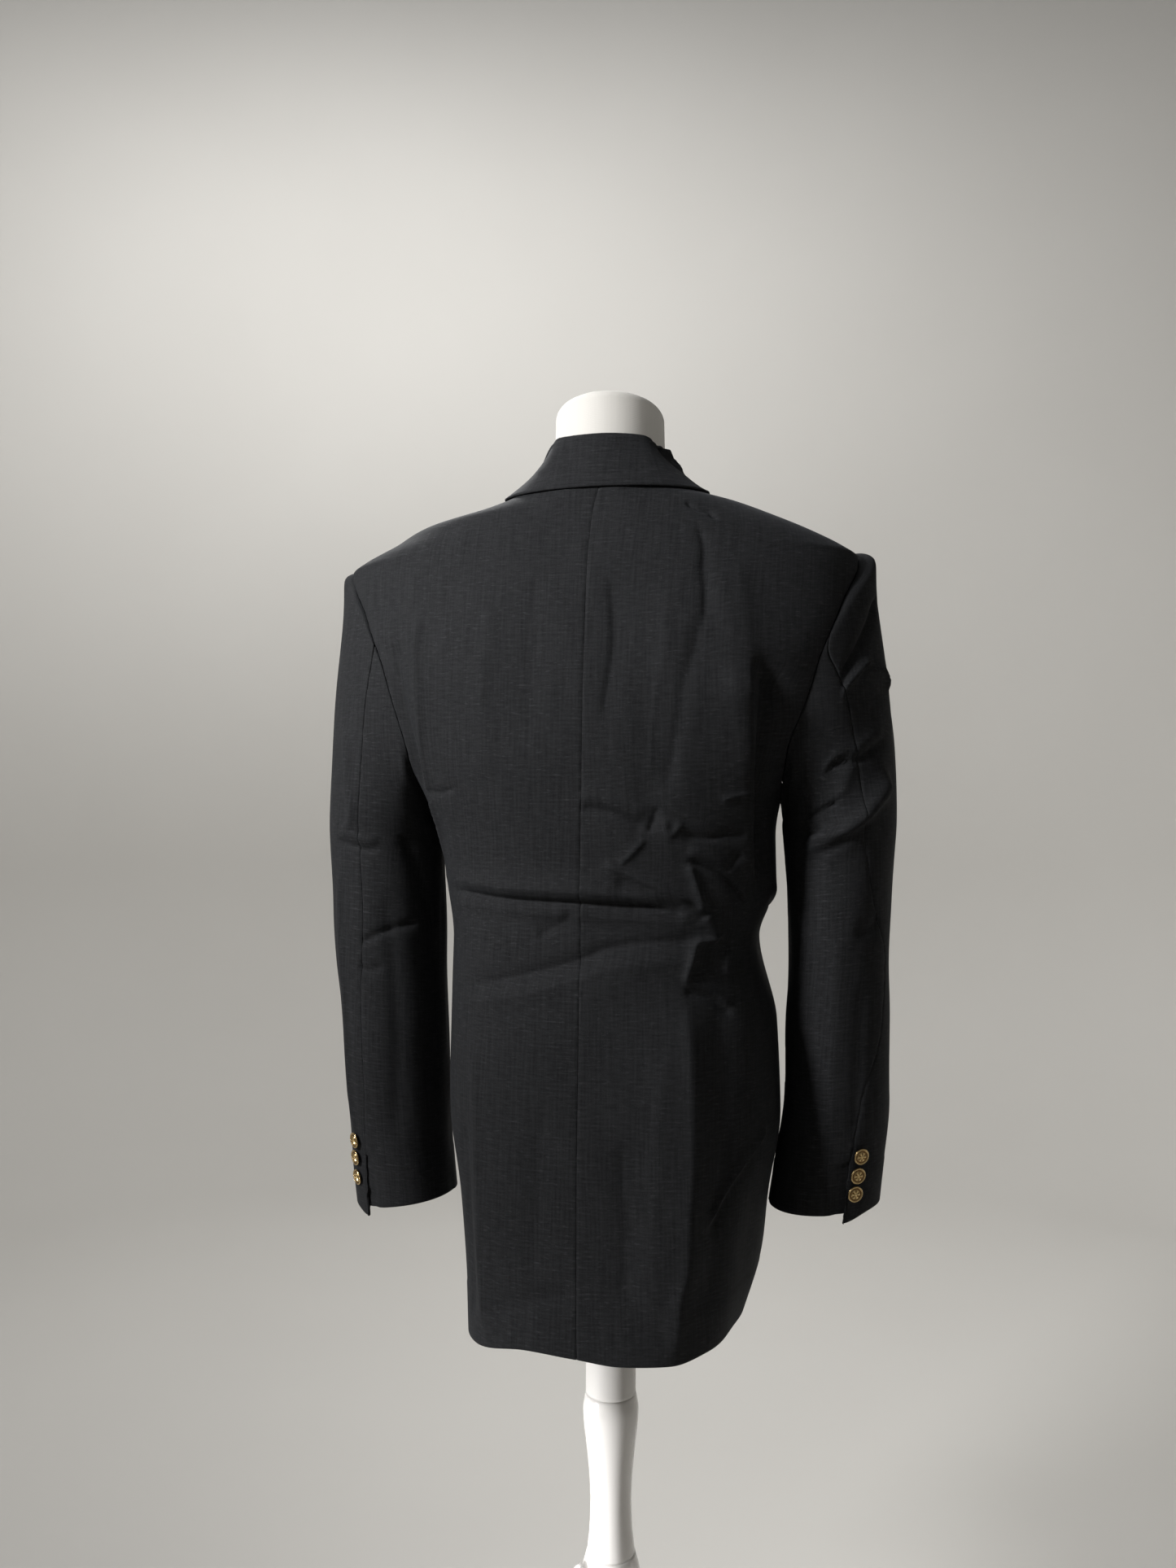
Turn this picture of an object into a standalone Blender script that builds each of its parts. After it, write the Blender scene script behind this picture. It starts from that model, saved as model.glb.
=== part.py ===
"""A long black blazer worn by a limbless dress form on a turned pole with a tripod base.

Metres, +Z up. The wearer's left is +X and the wearer faces -Y. The tables are in millimetres
and degrees. Angles round the body start at the centre back and grow towards the wearer's left,
so 90 is the left side, 180 the centre front and -90 the right side. Angles round a sleeve start
at its outer side and grow through the back, so 180 is the side that faces the body.
"""

import math

import bmesh
import bpy
import numpy as np
from mathutils import Vector

MM = 0.001
DEG = math.pi / 180


def hermite(start, start_slope, end, end_slope, t):
    """The cubic between two values with the given slopes, for t from 0 to 1."""
    t2 = t * t
    t3 = t2 * t
    start_part = (2 * t3 - 3 * t2 + 1) * start + (t3 - 2 * t2 + t) * start_slope
    end_part = (3 * t2 - 2 * t3) * end + (t3 - t2) * end_slope
    return start_part + end_part


def smooth_step(value):
    value = np.clip(value, 0, 1)
    return value * value * (3 - 2 * value)


def mix(a, b, t):
    return a + (b - a) * t


class Table:
    """A short table with named columns, read as smooth curves of its first column."""

    def __init__(self, columns, rows):
        self.columns = columns
        self.values = np.array(rows, float)

    def __call__(self, column, where):
        x = self.values[:, 0]
        y = self.values[:, self.columns.index(column)]
        step = np.diff(x)
        rise = np.diff(y) / step
        slope = np.zeros_like(y)
        slope[0] = rise[0]
        slope[-1] = rise[-1]
        same_way = rise[:-1] * rise[1:] > 0
        total = np.where(same_way, rise[:-1] + rise[1:], 1)
        slope[1:-1] = np.where(same_way, 2 * rise[:-1] * rise[1:] / total, 0)
        where = np.clip(where, x[0], x[-1])
        i = np.clip(np.searchsorted(x, where, side="right") - 1, 0, len(step) - 1)
        t = (where - x[i]) / step[i]
        return hermite(y[i], slope[i] * step[i], y[i + 1], slope[i + 1] * step[i], t)


# Cloth
WALL = 0.002
SEAM_GAP = 0.0003

# Heights above the floor
ARMPIT = 1.052
SHOULDER_TIP = 1.277
NECK_BACK = 1.352
NECK_SIDE = 1.358
BREAK = 0.965

# Front closure: the fronts lap past the centre, and the roll line runs from there to the neck
LAP = 0.020
LAP_RISE = 0.0028
LAP_EASE = (0.055, 0.025)
ROLL_TOP_X = 0.068
SIDE_SEAM = 96.0

# Stand
LEG_REACH = 0.250
POLE_X = -0.006
POLE_Y = LEG_REACH / 4
FORM_BOTTOM = 0.655
FORM_NECK = 0.0525
FORM_TOP = 1.436
FORM_TOP_SLOPE = 0.16

# Collar and lapels
COLLAR_LIFT = 0.0030
STAND_STATION = 3.9
LAPEL_CLEAR = 0.0015
LAPEL_LIFT = 0.0009
ROLL_RISE = 0.0025
LAPEL_START = {"left": 17, "right": 0}

# Buttons: heights in millimetres, and how far the cuff buttons stand from the vent
CUFF_BUTTON_RADIUS = 0.0075
CUFF_BUTTON_IN = {"left": 0.0145, "right": 0.0085}
CUFF_BUTTON_HEIGHTS = {"left": (728, 711, 692), "right": (732, 714, 697)}
FRONT_BUTTON_RADIUS = 0.010
FRONT_BUTTON_HEIGHTS = (945, 850)
BUTTON_PROFILE = (
    (0.35, 0),
    (0.35, 1.2),
    (0.95, 1.4),
    (1.00, 2.4),
    (0.84, 3.0),
    (0.45, 3.4),
    (0, 3.7),
)

# Turned pieces: radius and height, bottom to top
TUBE_PROFILE = ((23.5, 497), (23.5, 654.7))
POLE_PROFILE = (
    (22.5, 349.5),
    (20.0, 375),
    (19.3, 395),
    (20.3, 420),
    (23.3, 450),
    (25.8, 472),
    (26.2, 482),
    (25.0, 491),
    (23.6, 496.7),
)
HUB_PROFILE = (
    (0, 284),
    (14, 287),
    (24, 298),
    (29, 318),
    (27, 334),
    (23, 349.2),
)
FOOT_PROFILE = ((19, 0), (21, 3), (20, 9), (15, 12.2))
LEG = Table(
    ("place", "reach", "height", "half_height", "half_width"),
    (
        (0, 29.5, 328, 16.0, 11.0),
        (12, 53, 311, 14.0, 11.5),
        (26, 90, 278, 13.5, 11.5),
        (42, 131, 228, 12.5, 11.0),
        (58, 171, 166, 11.5, 10.5),
        (74, 207, 103, 10.5, 10.0),
        (88, 236, 48, 9.5, 9.5),
        (100, 250, 12.6, 9.0, 9.0),
    ),
)
LEG_HEADINGS = (-90, 30, 150)
LEG_END_TURN = 14

# Form: how far it lies under the cloth's inner face, and how far it has become the neck
FORM = Table(
    ("height", "inset", "neck"),
    (
        (640, 12, 0),
        (800, 11, 0),
        (950, 9, 0),
        (1050, 6, 0),
        (1150, 4, 0),
        (1230, 2, 0),
        (1280, 1.8, 0),
        (1330, 1.8, 0),
        (1345, 1, 8),
        (1358, 1, 45),
        (1372, 1, 88),
        (1386, 1, 100),
    ),
)
FORM_SHOULDER = (0.120, 0.055)
FORM_BOTTOM_EDGE = ((12, 0), (3, 3), (0, 12))
FORM_LEVELS = (710, 780, 850, 920, 990, 1050, 1105, 1155, 1195, 1228, 1255)
FORM_LEVELS += (1275, 1291, 1304, 1315, 1325, 1334, 1343, 1352, 1362, 1374)
FORM_TOP_EDGE = ((0, 9), (2.6, 2.6), (9, 0))

# Grid sizes
COLLAR_COLUMNS = 31
COLLAR_ROWS = 4
STAND_COLUMNS = 21
LAPEL_ROWS = 11
LAPEL_COLUMNS = 5
TOP_COLUMNS = 14
UNDER_COLUMNS = 10
FORM_SEGMENTS = 32
POLE_SEGMENTS = 20
FOOT_SEGMENTS = 12
LEG_SEGMENTS = 10
LEG_ROWS = 12
BUTTON_SEGMENTS = 10
PANEL_COLUMNS = 10
PANEL_ROWS = 17
SHOULDER_ROWS = 7
ARMHOLE_STEP = 15
CAP_ROWS = 7
SLEEVE_ROWS = 12


# The body's level sections: reach to each side, squareness of each side behind and of the front,
# and the sideways place of the centre-back seam
BODY = Table(
    (
        "height",
        "left",
        "right",
        "back",
        "front",
        "left_power",
        "right_power",
        "front_power",
        "seam",
    ),
    (
        (570, 119, 120, 134, 150, 3.9, 2.6, 2.4, 7.5),
        (640, 124, 141, 135, 150, 3.7, 2.7, 2.4, 8.0),
        (700, 131.5, 149.5, 135, 150, 3.3, 2.8, 2.4, 8.0),
        (770, 143, 159.5, 134, 148, 3.0, 2.8, 2.4, 7.5),
        (850, 146, 156, 131, 142, 2.8, 2.7, 2.4, 7.0),
        (925, 146, 141, 123, 136, 2.6, 2.6, 2.4, 6.8),
        (975, 152, 157, 124, 140, 2.6, 2.6, 2.4, 6.6),
        (1020, 157, 156, 130, 147, 2.7, 2.7, 2.4, 5.5),
        (1052, 170, 161, 133, 148, 2.8, 2.8, 2.4, 4.5),
        (1090, 191, 180, 135, 146, 2.8, 2.8, 2.4, 3.6),
        (1140, 216, 212, 134, 140, 2.7, 2.7, 2.4, 3.0),
        (1200, 241, 234, 126, 124, 2.5, 2.5, 2.3, 2.6),
        (1237, 249, 237, 118, 112, 2.3, 2.3, 2.2, 2.8),
        (1262, 254, 236.5, 111, 104, 2.2, 2.2, 2.1, 3.0),
        (1277, 257, 234, 106, 98, 2.1, 2.1, 2.1, 2.8),
        (1285, 247, 224, 103, 94, 2.1, 2.1, 2.1, 2.5),
        (1300, 217, 197, 98, 86, 2.1, 2.1, 2.1, 1.8),
        (1315, 190, 164, 92, 77, 2.1, 2.1, 2.1, 0.5),
        (1327, 136, 134, 87, 70, 2.1, 2.1, 2.1, -1.5),
        (1335, 107, 107, 84, 66, 2.1, 2.1, 2.1, -3.0),
        (1345, 92, 88, 78, 61, 2.1, 2.1, 2.1, -3.0),
        (1358, 74, 74, 70, 56, 2.1, 2.1, 2.1, -3.0),
        (1372, 64, 64, 62, 50, 2.1, 2.1, 2.1, -3.0),
    ),
)

# The hem's height round the body
HEM = Table(
    ("angle", "height"),
    (
        (-180, 590),
        (-90, 590),
        (-60, 587),
        (-45, 584),
        (-30, 580),
        (-12, 580),
        (4, 584),
        (22, 588),
        (40, 583),
        (60, 583),
        (90, 590),
        (180, 590),
    ),
)

# Where the armhole cuts the body, by the angle round the armhole from its top
ARMHOLE = Table(
    ("round", "back", "front"),
    (
        (0, 90, 90),
        (30, 85, 97),
        (60, 74.5, 109),
        (90, 66.5, 119),
        (120, 64.5, 122),
        (150, 73, 115),
        (180, SIDE_SEAM, SIDE_SEAM),
    ),
)

SLEEVE_COLUMNS = ("height", "out", "back", "half_width", "half_depth", "hind_seam")
SLEEVES = {
    "left": Table(
        SLEEVE_COLUMNS,
        (
            (655, 210, -30, 49, 52, 62),
            (720, 215, -24, 49.2, 54, 64),
            (780, 216, -16, 51.2, 56, 71),
            (860, 217.6, -8, 51.9, 58, 73),
            (900, 219.5, -5, 53, 59, 78),
            (950, 221.4, -2, 54.7, 60, 84),
            (1020, 222, 2, 55.3, 62, 82),
        ),
    ),
    "right": Table(
        SLEEVE_COLUMNS,
        (
            (655, 195.7, -30, 50.7, 52, 73),
            (720, 204.2, -24, 49.8, 54, 71),
            (780, 211, -16, 48, 56, 65),
            (850, 211.8, -8, 46.7, 57, 34),
            (905, 212.7, -4, 44.7, 58, 27),
            (960, 214, -1, 47, 60, 52),
            (1020, 214, 2, 50.9, 62, 68),
        ),
    ),
}
CAP_END = 1.020
SLEEVE_RADIUS = 0.055
FRONT_SEAM = -135
HIND_SEAM_TOP = 75
HIND_SWELL = {"left": 1, "right": 7}
HIND_SWELL_PLACE = 0.16
CUFF = {"left": 0.664, "right": 0.678}
CUFF_TILT = {"left": -0.10, "right": 0.09}
CAP_OUT = {"left": 0.024, "right": 0.046}
HEAD_OUT = {"left": 0.005, "right": 0.011}
HEAD_PLACE = 0.07
CAP_CROWDING = 1.6
VENT_TOP = 1.85
VENT_OPEN = 1.2
VENT_DROP = 0.024
VENT_SHARE = 0.10

# The collar by stations round the neck, from the centre back to each front end
COLLAR_NAMES = (
    "station",
    "base_angle",
    "roll_out",
    "roll_back",
    "roll",
    "edge_angle",
    "edge",
    "dip",
)
COLLAR = {
    "left": Table(
        COLLAR_NAMES,
        (
            (0, 0, 0, 64, 1387, 0, 1333, 0),
            (1, 35, 43, 49, 1390, 32, 1333, 0),
            (2, 65, 54, 27, 1379, 60, 1335, 0),
            (3, 90, 59.5, 0, 1371, 86, 1341, 4),
            (4, 112, 63, -32, 1361, 110, 1330, 0),
            (5, 138, 61, -72, 1327, 124, 1300, 2),
            (6, 152, 51, -99, 1281, 135, 1265, 12),
        ),
    ),
    "right": Table(
        COLLAR_NAMES,
        (
            (0, 0, 0, 64, 1387, 0, 1333, 0),
            (1, 35, 40, 51, 1384, 32, 1333, 0),
            (2, 65, 53, 27, 1380, 60, 1334, 1),
            (3, 90, 59, 0, 1374, 86, 1340, 12),
            (4, 112, 62, -32, 1362, 110, 1330, 4),
            (5, 138, 61, -72, 1327, 124, 1300, 2),
            (6, 152, 51, -99, 1281, 135, 1265, 12),
        ),
    ),
}

LAPEL = Table(
    ("along", "inner", "outer", "width"),
    (
        (0, 970, 967, 4),
        (25, 1046, 1030, 30),
        (50, 1122, 1093, 52),
        (75, 1198, 1155, 70),
        (100, 1274, 1216, 80),
    ),
)


def body_radius(angle, height):
    """How far the cloth's outer face lies from the pole's axis."""
    level = height / MM
    wide = np.where(np.sin(angle) > 0, BODY("left", level), BODY("right", level)) * MM
    deep = np.where(np.cos(angle) > 0, BODY("back", level), BODY("front", level)) * MM
    behind = np.where(np.sin(angle) > 0, BODY("left_power", level), BODY("right_power", level))
    power = np.where(np.cos(angle) > 0, behind, BODY("front_power", level))
    sideways = np.abs(np.sin(angle) / wide) ** power
    return (sideways + np.abs(np.cos(angle) / deep) ** power) ** (-1 / power)


def body_surface(angle, height):
    radius = body_radius(angle, height)
    return np.stack([radius * np.sin(angle), radius * np.cos(angle), height], axis=-1)


def unit(vectors):
    return vectors / np.linalg.norm(vectors, axis=-1, keepdims=True)


def body_normal(angle, height):
    step = 0.002
    across = body_surface(angle + step, height) - body_surface(angle - step, height)
    upward = body_surface(angle, height + step) - body_surface(angle, height - step)
    return unit(np.cross(upward, across))


def body_point(angle, height, out=0.0):
    """A point on the cloth's outer face, moved out along the normal."""
    out = np.asarray(out, float)[..., None]
    return body_surface(angle, height) + body_normal(angle, height) * out


def front_angle(x, height):
    """The angle where the front of the body has this sideways place."""
    level = height / MM
    wide = np.where(x > 0, BODY("left", level), BODY("right", level)) * MM
    power = BODY("front_power", level)
    share = np.clip(1 - np.abs(x / wide) ** power, 0, 1) ** (1 / power)
    return np.arctan2(x, -BODY("front", level) * MM * share) % (2 * math.pi)


def roll_line(height):
    """The sideways place of the roll line of the left front, and of the front edge below it."""
    share = np.clip((height - BREAK) / (NECK_SIDE - BREAK), 0, 1)
    return mix(-LAP, ROLL_TOP_X, share)


def neck_height(angle):
    """The height of the panels' neck edge, level in front and lower at the centre back."""
    return mix(NECK_BACK, NECK_SIDE, np.clip(np.abs(angle) / (90 * DEG), 0, 1))


def armhole_height(round_angle):
    middle = (SHOULDER_TIP + ARMPIT) / 2
    return middle + (SHOULDER_TIP - ARMPIT) / 2 * np.cos(round_angle * DEG)


def armhole_angle(side, round_angle):
    """The body angle of the armhole's edge, for a round angle from 0 to 360."""
    turned = np.where(round_angle > 180, 360 - round_angle, round_angle)
    behind = ARMHOLE("back", turned)
    before = ARMHOLE("front", turned)
    return side * np.where(round_angle > 180, before, behind) * DEG


def panel_rows():
    """The rows of a body panel from hem to neck: kind and place within the kind."""
    lower = [("skirt", value) for value in np.linspace(0, 1, PANEL_ROWS + 1)]
    armhole = [("armhole", value) for value in range(180 - ARMHOLE_STEP, -1, -ARMHOLE_STEP)]
    shoulder = [("shoulder", value) for value in np.linspace(0, 1, SHOULDER_ROWS + 1)[1:]]
    return lower + armhole + shoulder


def row_edge(kind, value, face):
    """The angle of a panel's side edge in this row, in degrees."""
    if kind == "skirt":
        return SIDE_SEAM
    if kind == "armhole":
        return float(ARMHOLE(face, value))
    return 90.0


def row_height(kind, value, angle, top):
    """The height of a row's points."""
    if kind == "skirt":
        turned = (angle / DEG + 180) % 360 - 180
        return mix(HEM("height", turned) * MM, ARMPIT, value)
    if kind == "armhole":
        return np.full_like(angle, armhole_height(value))
    return mix(SHOULDER_TIP, top, value) + 0 * angle


# The largest folds of the cloth, on the body unrolled: how far round from the centre back, and
# the height, of each end, then how far the cloth moves out and the fold's half width
BODY_FOLDS = (
    (-95, 948, 30, 950, -3.5, 16),
    (30, 950, 150, 962, -4.0, 15),
    (-95, 972, 130, 978, 3.0, 18),
    (-60, 905, 20, 880, 2.5, 16),
    (-80, 560, -84, 880, 6.0, 22),
    (-165, 560, -165, 760, -6.0, 32),
    (95, 560, 96, 860, 2.5, 20),
    (-60, 1190, -55, 1010, -3.0, 15),
    (-92, 1240, -80, 1060, 3.0, 16),
)
UNROLLED_RADIUS = 0.150


def fold_out(angle, height):
    """How far the folds move the cloth out at these places on the unrolled body."""
    turned = (angle + math.pi) % (2 * math.pi) - math.pi
    place = np.stack([turned * UNROLLED_RADIUS, height + 0 * angle], axis=-1)
    total = np.zeros(place.shape[:-1])
    for round_0, height_0, round_1, height_1, out, width in BODY_FOLDS:
        start = np.array([round_0, height_0]) * MM
        run = np.array([round_1, height_1]) * MM - start
        along = (place - start) @ run / (run @ run)
        inside = np.clip(along, 0, 1)
        away = np.linalg.norm(place - start - inside[..., None] * run, axis=-1)
        fade = np.sin(np.pi * np.clip(inside, 0.02, 0.98)) ** 0.6
        total += out * MM * np.exp(-((away / (width * MM)) ** 2)) * fade
    return total


def back_grid(side):
    """Angles and heights of a back panel's points, from the centre-back seam to its side edge."""
    angles = []
    heights = []
    for kind, value in panel_rows():
        level = float(row_height(kind, value, np.zeros(1), NECK_BACK)[0])
        deep = float(BODY("back", level / MM)) * MM
        seam = math.asin(float(BODY("seam", level / MM)) * MM / deep)
        start = seam + side * SEAM_GAP / 2 / deep
        edge = row_edge(kind, value, "back") * DEG
        wide = float(body_radius(np.array(side * edge), level))
        end = side * (edge - SEAM_GAP / 2 / wide)
        angle = np.linspace(start, end, PANEL_COLUMNS + 1)
        angles.append(angle)
        heights.append(row_height(kind, value, angle, neck_height(angle)))
    return np.array(angles), np.array(heights)


def front_grid(side):
    """Angles and heights of a front panel's points, from its side edge to its front edge."""
    angles = []
    heights = []
    for kind, value in panel_rows():
        level = float(row_height(kind, value, np.full(1, math.pi), NECK_SIDE)[0])
        edge = row_edge(kind, value, "front") * DEG
        wide = float(body_radius(np.array(side * edge), level))
        start = edge + SEAM_GAP / 2 / wide
        inner_x = side * float(roll_line(level))
        end = float(front_angle(np.array(inner_x), level))
        if side < 0:
            end = 2 * math.pi - end
        angle = side * np.linspace(start, end, PANEL_COLUMNS + 1)
        angles.append(angle)
        heights.append(row_height(kind, value, angle, NECK_SIDE))
    return np.array(angles), np.array(heights)


def lap_out(side, angle, height):
    """The right front rises to pass over the left front."""
    if side > 0:
        return np.zeros_like(angle)
    across = body_surface(angle, height)[..., 0]
    near_front = np.cos(angle) < 0
    share = smooth_step((across + LAP_EASE[0]) / (LAP_EASE[0] - LAP_EASE[1]))
    return np.where(near_front, LAP_RISE * share, 0)


def sleeve_ring(name, side, round_angle, height):
    """A point of the sleeve tube below the cap."""
    table = SLEEVES[name]
    level = height / MM
    turn = round_angle * DEG
    out = table("out", level) + table("half_width", level) * np.cos(turn)
    back = table("back", level) + table("half_depth", level) * np.sin(turn)
    return np.stack([side * out * MM, back * MM, height + 0 * out], axis=-1)


def cap_start(side, round_angle):
    """The armhole's loop, drawn in all round by the seam's gap."""
    whole = round_angle % 360
    turn = whole * DEG
    height = armhole_height(whole) - SEAM_GAP * np.cos(turn)
    angle = armhole_angle(side, whole)
    inward = side * np.sin(turn) * SEAM_GAP / body_radius(angle, height)
    return body_surface(angle + inward, height)


def cap_direction(name, side, round_angle):
    """The way the sleeve leaves the armhole, and how strongly."""
    turn = round_angle * DEG
    out = CAP_OUT[name] * (0.62 + 0.38 * np.cos(turn))
    back = 0.006 * np.sin(turn)
    rise = np.where(np.cos(turn) > 0, 0.030, 0.014) * np.cos(turn)
    return np.stack([side * out, back + 0 * out, rise - 0.006 * np.sin(turn) ** 2], axis=-1)


def head_out(name, side, round_angle, t):
    """The rounded head: the cap swells just below the top of the armhole."""
    top = np.maximum(np.cos(round_angle * DEG), 0) ** 2
    swell = t / HEAD_PLACE * np.exp(1 - t / HEAD_PLACE)
    out = HEAD_OUT[name] * top * swell
    return np.stack([side * out, 0 * out, 0.3 * out], axis=-1)


def sleeve_surface(name, side, round_angle, along):
    """The sleeve's outer face: along runs 0 to 1 over the cap and 1 to 2 down to the cuff."""
    leave = cap_direction(name, side, round_angle)
    start = cap_start(side, round_angle)
    end = sleeve_ring(name, side, round_angle, np.full_like(round_angle, CAP_END))
    drop = 0.140 + 0.110 * np.cos(round_angle * DEG)
    below = sleeve_ring(name, side, round_angle, np.full_like(round_angle, CAP_END - 0.01))
    fall = unit(below - end) * drop[..., None]
    t = np.clip(along, 0, 1)
    cap = hermite(start, leave, end, fall, t[..., None]) + head_out(name, side, round_angle, t)
    tilt = CUFF_TILT[name] * side * (end[..., 0] - side * SLEEVES[name]("out", 720) * MM)
    cuff = CUFF[name] + tilt
    height = mix(CAP_END, cuff, np.maximum(along - 1, 0))
    tube = sleeve_ring(name, side, round_angle, height)
    return np.where(np.asarray(along)[..., None] <= 1, cap, tube)


def sleeve_normal(name, side, round_angle, along):
    turn = 0.5
    step = 0.01
    before = sleeve_surface(name, side, round_angle - turn, along)
    after = sleeve_surface(name, side, round_angle + turn, along)
    above = sleeve_surface(name, side, round_angle, np.maximum(along - step, 0))
    below = sleeve_surface(name, side, round_angle, along + step)
    return side * unit(np.cross(below - above, after - before))


def sleeve_grid(name, first, last, columns):
    """Angles round the sleeve and places along it, between two seams."""
    cap = np.linspace(0, 1, CAP_ROWS + 1) ** CAP_CROWDING
    tube = np.linspace(1, 2, SLEEVE_ROWS + 1)[1:]
    along = np.concatenate([cap, tube])
    share = np.linspace(0, 1, columns + 1)
    heights = np.where(along <= 1, CAP_END, mix(CAP_END, CUFF[name], along - 1)) / MM
    lower = SLEEVES[name]("hind_seam", heights)
    swell = along / HIND_SWELL_PLACE * np.exp(1 - along / HIND_SWELL_PLACE)
    upper = mix(HIND_SEAM_TOP, lower, smooth_step(along)) + HIND_SWELL[name] * swell
    hind = np.where(along < 1, upper, lower)
    start = hind if first == "hind" else np.full_like(along, first)
    end = hind if last == "hind" else np.full_like(along, last)
    angles = mix(start[:, None], end[:, None], share[None, :])
    inset = SEAM_GAP / 2 / SLEEVE_RADIUS / DEG * (2 - np.minimum(along, 1))
    way = np.sign(angles[0, -1] - angles[0, 0])
    angles[:, 0] += way * inset
    angles[:, -1] -= way * inset
    longer = VENT_DROP * np.exp(-((share / VENT_SHARE) ** 2)) if way < 0 else 0 * share
    vent = np.maximum(along - VENT_TOP, 0) / (2 - VENT_TOP)
    if way < 0:
        angles[:, 0] += way * VENT_OPEN * vent
    return angles, along[:, None] + vent[:, None] * longer[None, :]


def clear_scene():
    for old in list(bpy.data.objects):
        bpy.data.objects.remove(old, do_unlink=True)


def finish(name, color, roughness, metallic=0.0):
    made = bpy.data.materials.new(name)
    made.use_nodes = True
    shader = made.node_tree.nodes["Principled BSDF"]
    shader.inputs["Base Color"].default_value = (*color, 1)
    shader.inputs["Roughness"].default_value = roughness
    shader.inputs["Metallic"].default_value = metallic
    return made


def add_object(name, mesh_work, material, parent):
    """Turns a bmesh into a named object with its material, outward faces and smooth shading."""
    bmesh.ops.recalc_face_normals(mesh_work, faces=mesh_work.faces)
    if mesh_work.calc_volume(signed=True) < 0:
        bmesh.ops.reverse_faces(mesh_work, faces=mesh_work.faces)
    mesh = bpy.data.meshes.new(name)
    mesh_work.to_mesh(mesh)
    mesh_work.free()
    mesh.materials.append(material)
    mesh.shade_smooth()
    mesh.set_sharp_from_angle(angle=40 * DEG)
    made = bpy.data.objects.new(name, mesh)
    bpy.context.scene.collection.objects.link(made)
    made.parent = parent
    return made


def wall_mesh(outer, inner):
    """A closed wall between two grids of points."""
    work = bmesh.new()
    rows, columns = outer.shape[:2]
    faces = []
    for grid in (outer, inner):
        faces.append([[work.verts.new(point) for point in row] for row in grid])
    for grid in faces:
        for i in range(rows - 1):
            for j in range(columns - 1):
                corners = (grid[i][j], grid[i][j + 1], grid[i + 1][j + 1], grid[i + 1][j])
                work.faces.new(corners)
    border = [(0, j) for j in range(columns)]
    border += [(i, columns - 1) for i in range(1, rows)]
    border += [(rows - 1, j) for j in range(columns - 2, -1, -1)]
    border += [(i, 0) for i in range(rows - 2, 0, -1)]
    front, back = faces
    for (i, j), (k, m) in zip(border, border[1:] + border[:1]):
        work.faces.new((front[i][j], front[k][m], back[k][m], back[i][j]))
    return work


def add_wall(name, points, normals, out, material, parent, thickness=WALL):
    """A cloth wall: the outer face is the points moved out, the inner face lies under it."""
    outer = points + normals * np.asarray(out)[..., None]
    inner = outer - normals * thickness
    return add_object(name, wall_mesh(outer, inner), material, parent)


def add_back(name, side, material, parent):
    angle, height = back_grid(side)
    out = fold_out(angle, height)
    points = body_surface(angle, height)
    add_wall(name, points, body_normal(angle, height), out, material, parent)


def add_front(name, side, material, parent):
    angle, height = front_grid(side)
    out = fold_out(angle, height) + lap_out(side, angle, height)
    points = body_surface(angle, height)
    add_wall(name, points, body_normal(angle, height), out, material, parent)


def add_sleeve_piece(name, which, side, first, last, columns, material, parent):
    angle, along = sleeve_grid(which, first, last, columns)
    points = sleeve_surface(which, side, angle, along)
    normals = sleeve_normal(which, side, angle, along)
    add_wall(name, points, normals, np.zeros(angle.shape), material, parent)


def lathe(profile, segments):
    """A closed solid turned round Z from a profile of radius and height, bottom to top."""
    work = bmesh.new()
    rings = []
    for radius, height in profile:
        if radius == 0:
            rings.append([work.verts.new((0, 0, height))])
            continue
        ring = []
        for k in range(segments):
            turn = 2 * math.pi * k / segments
            ring.append(work.verts.new((radius * math.cos(turn), radius * math.sin(turn), height)))
        rings.append(ring)
    for low, high in zip(rings, rings[1:]):
        for k in range(segments):
            n = (k + 1) % segments
            corners = [low[k % len(low)], low[n % len(low)], high[n % len(high)], high[k % len(high)]]
            work.faces.new(list(dict.fromkeys(corners)))
    for ring in (rings[0], rings[-1]):
        if len(ring) > 1:
            work.faces.new(ring)
    return work


def collar_stations(count):
    """Signed stations from the right front end, round the back, to the left front end."""
    return np.linspace(-6, 6, count)


def collar_value(column, station):
    where = np.abs(station)
    return np.where(station > 0, COLLAR["left"](column, where), COLLAR["right"](column, where))


def collar_roll(station):
    out = collar_value("roll_out", station) * np.sign(station)
    back = collar_value("roll_back", station)
    return np.stack([out, back, collar_value("roll", station)], axis=-1) * MM


def collar_edge(station, out):
    angle = np.sign(station) * collar_value("edge_angle", station) * DEG
    return body_point(angle, collar_value("edge", station) * MM, out)


def pushed_clear(points, lift):
    """Points moved out along the body's normal where they lie closer to the cloth than lift."""
    angle = np.arctan2(points[..., 0], points[..., 1])
    height = points[..., 2]
    radius = np.linalg.norm(points[..., :2], axis=-1)
    normal = body_normal(angle, height)
    level = np.linalg.norm(normal[..., :2], axis=-1)
    above = (radius - body_radius(angle, height)) * level
    return points + normal * np.maximum(lift - above, 0)[..., None]


def grid_normals(points):
    down = np.gradient(points, axis=0)
    across = np.gradient(points, axis=1)
    return unit(np.cross(across, down))


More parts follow.
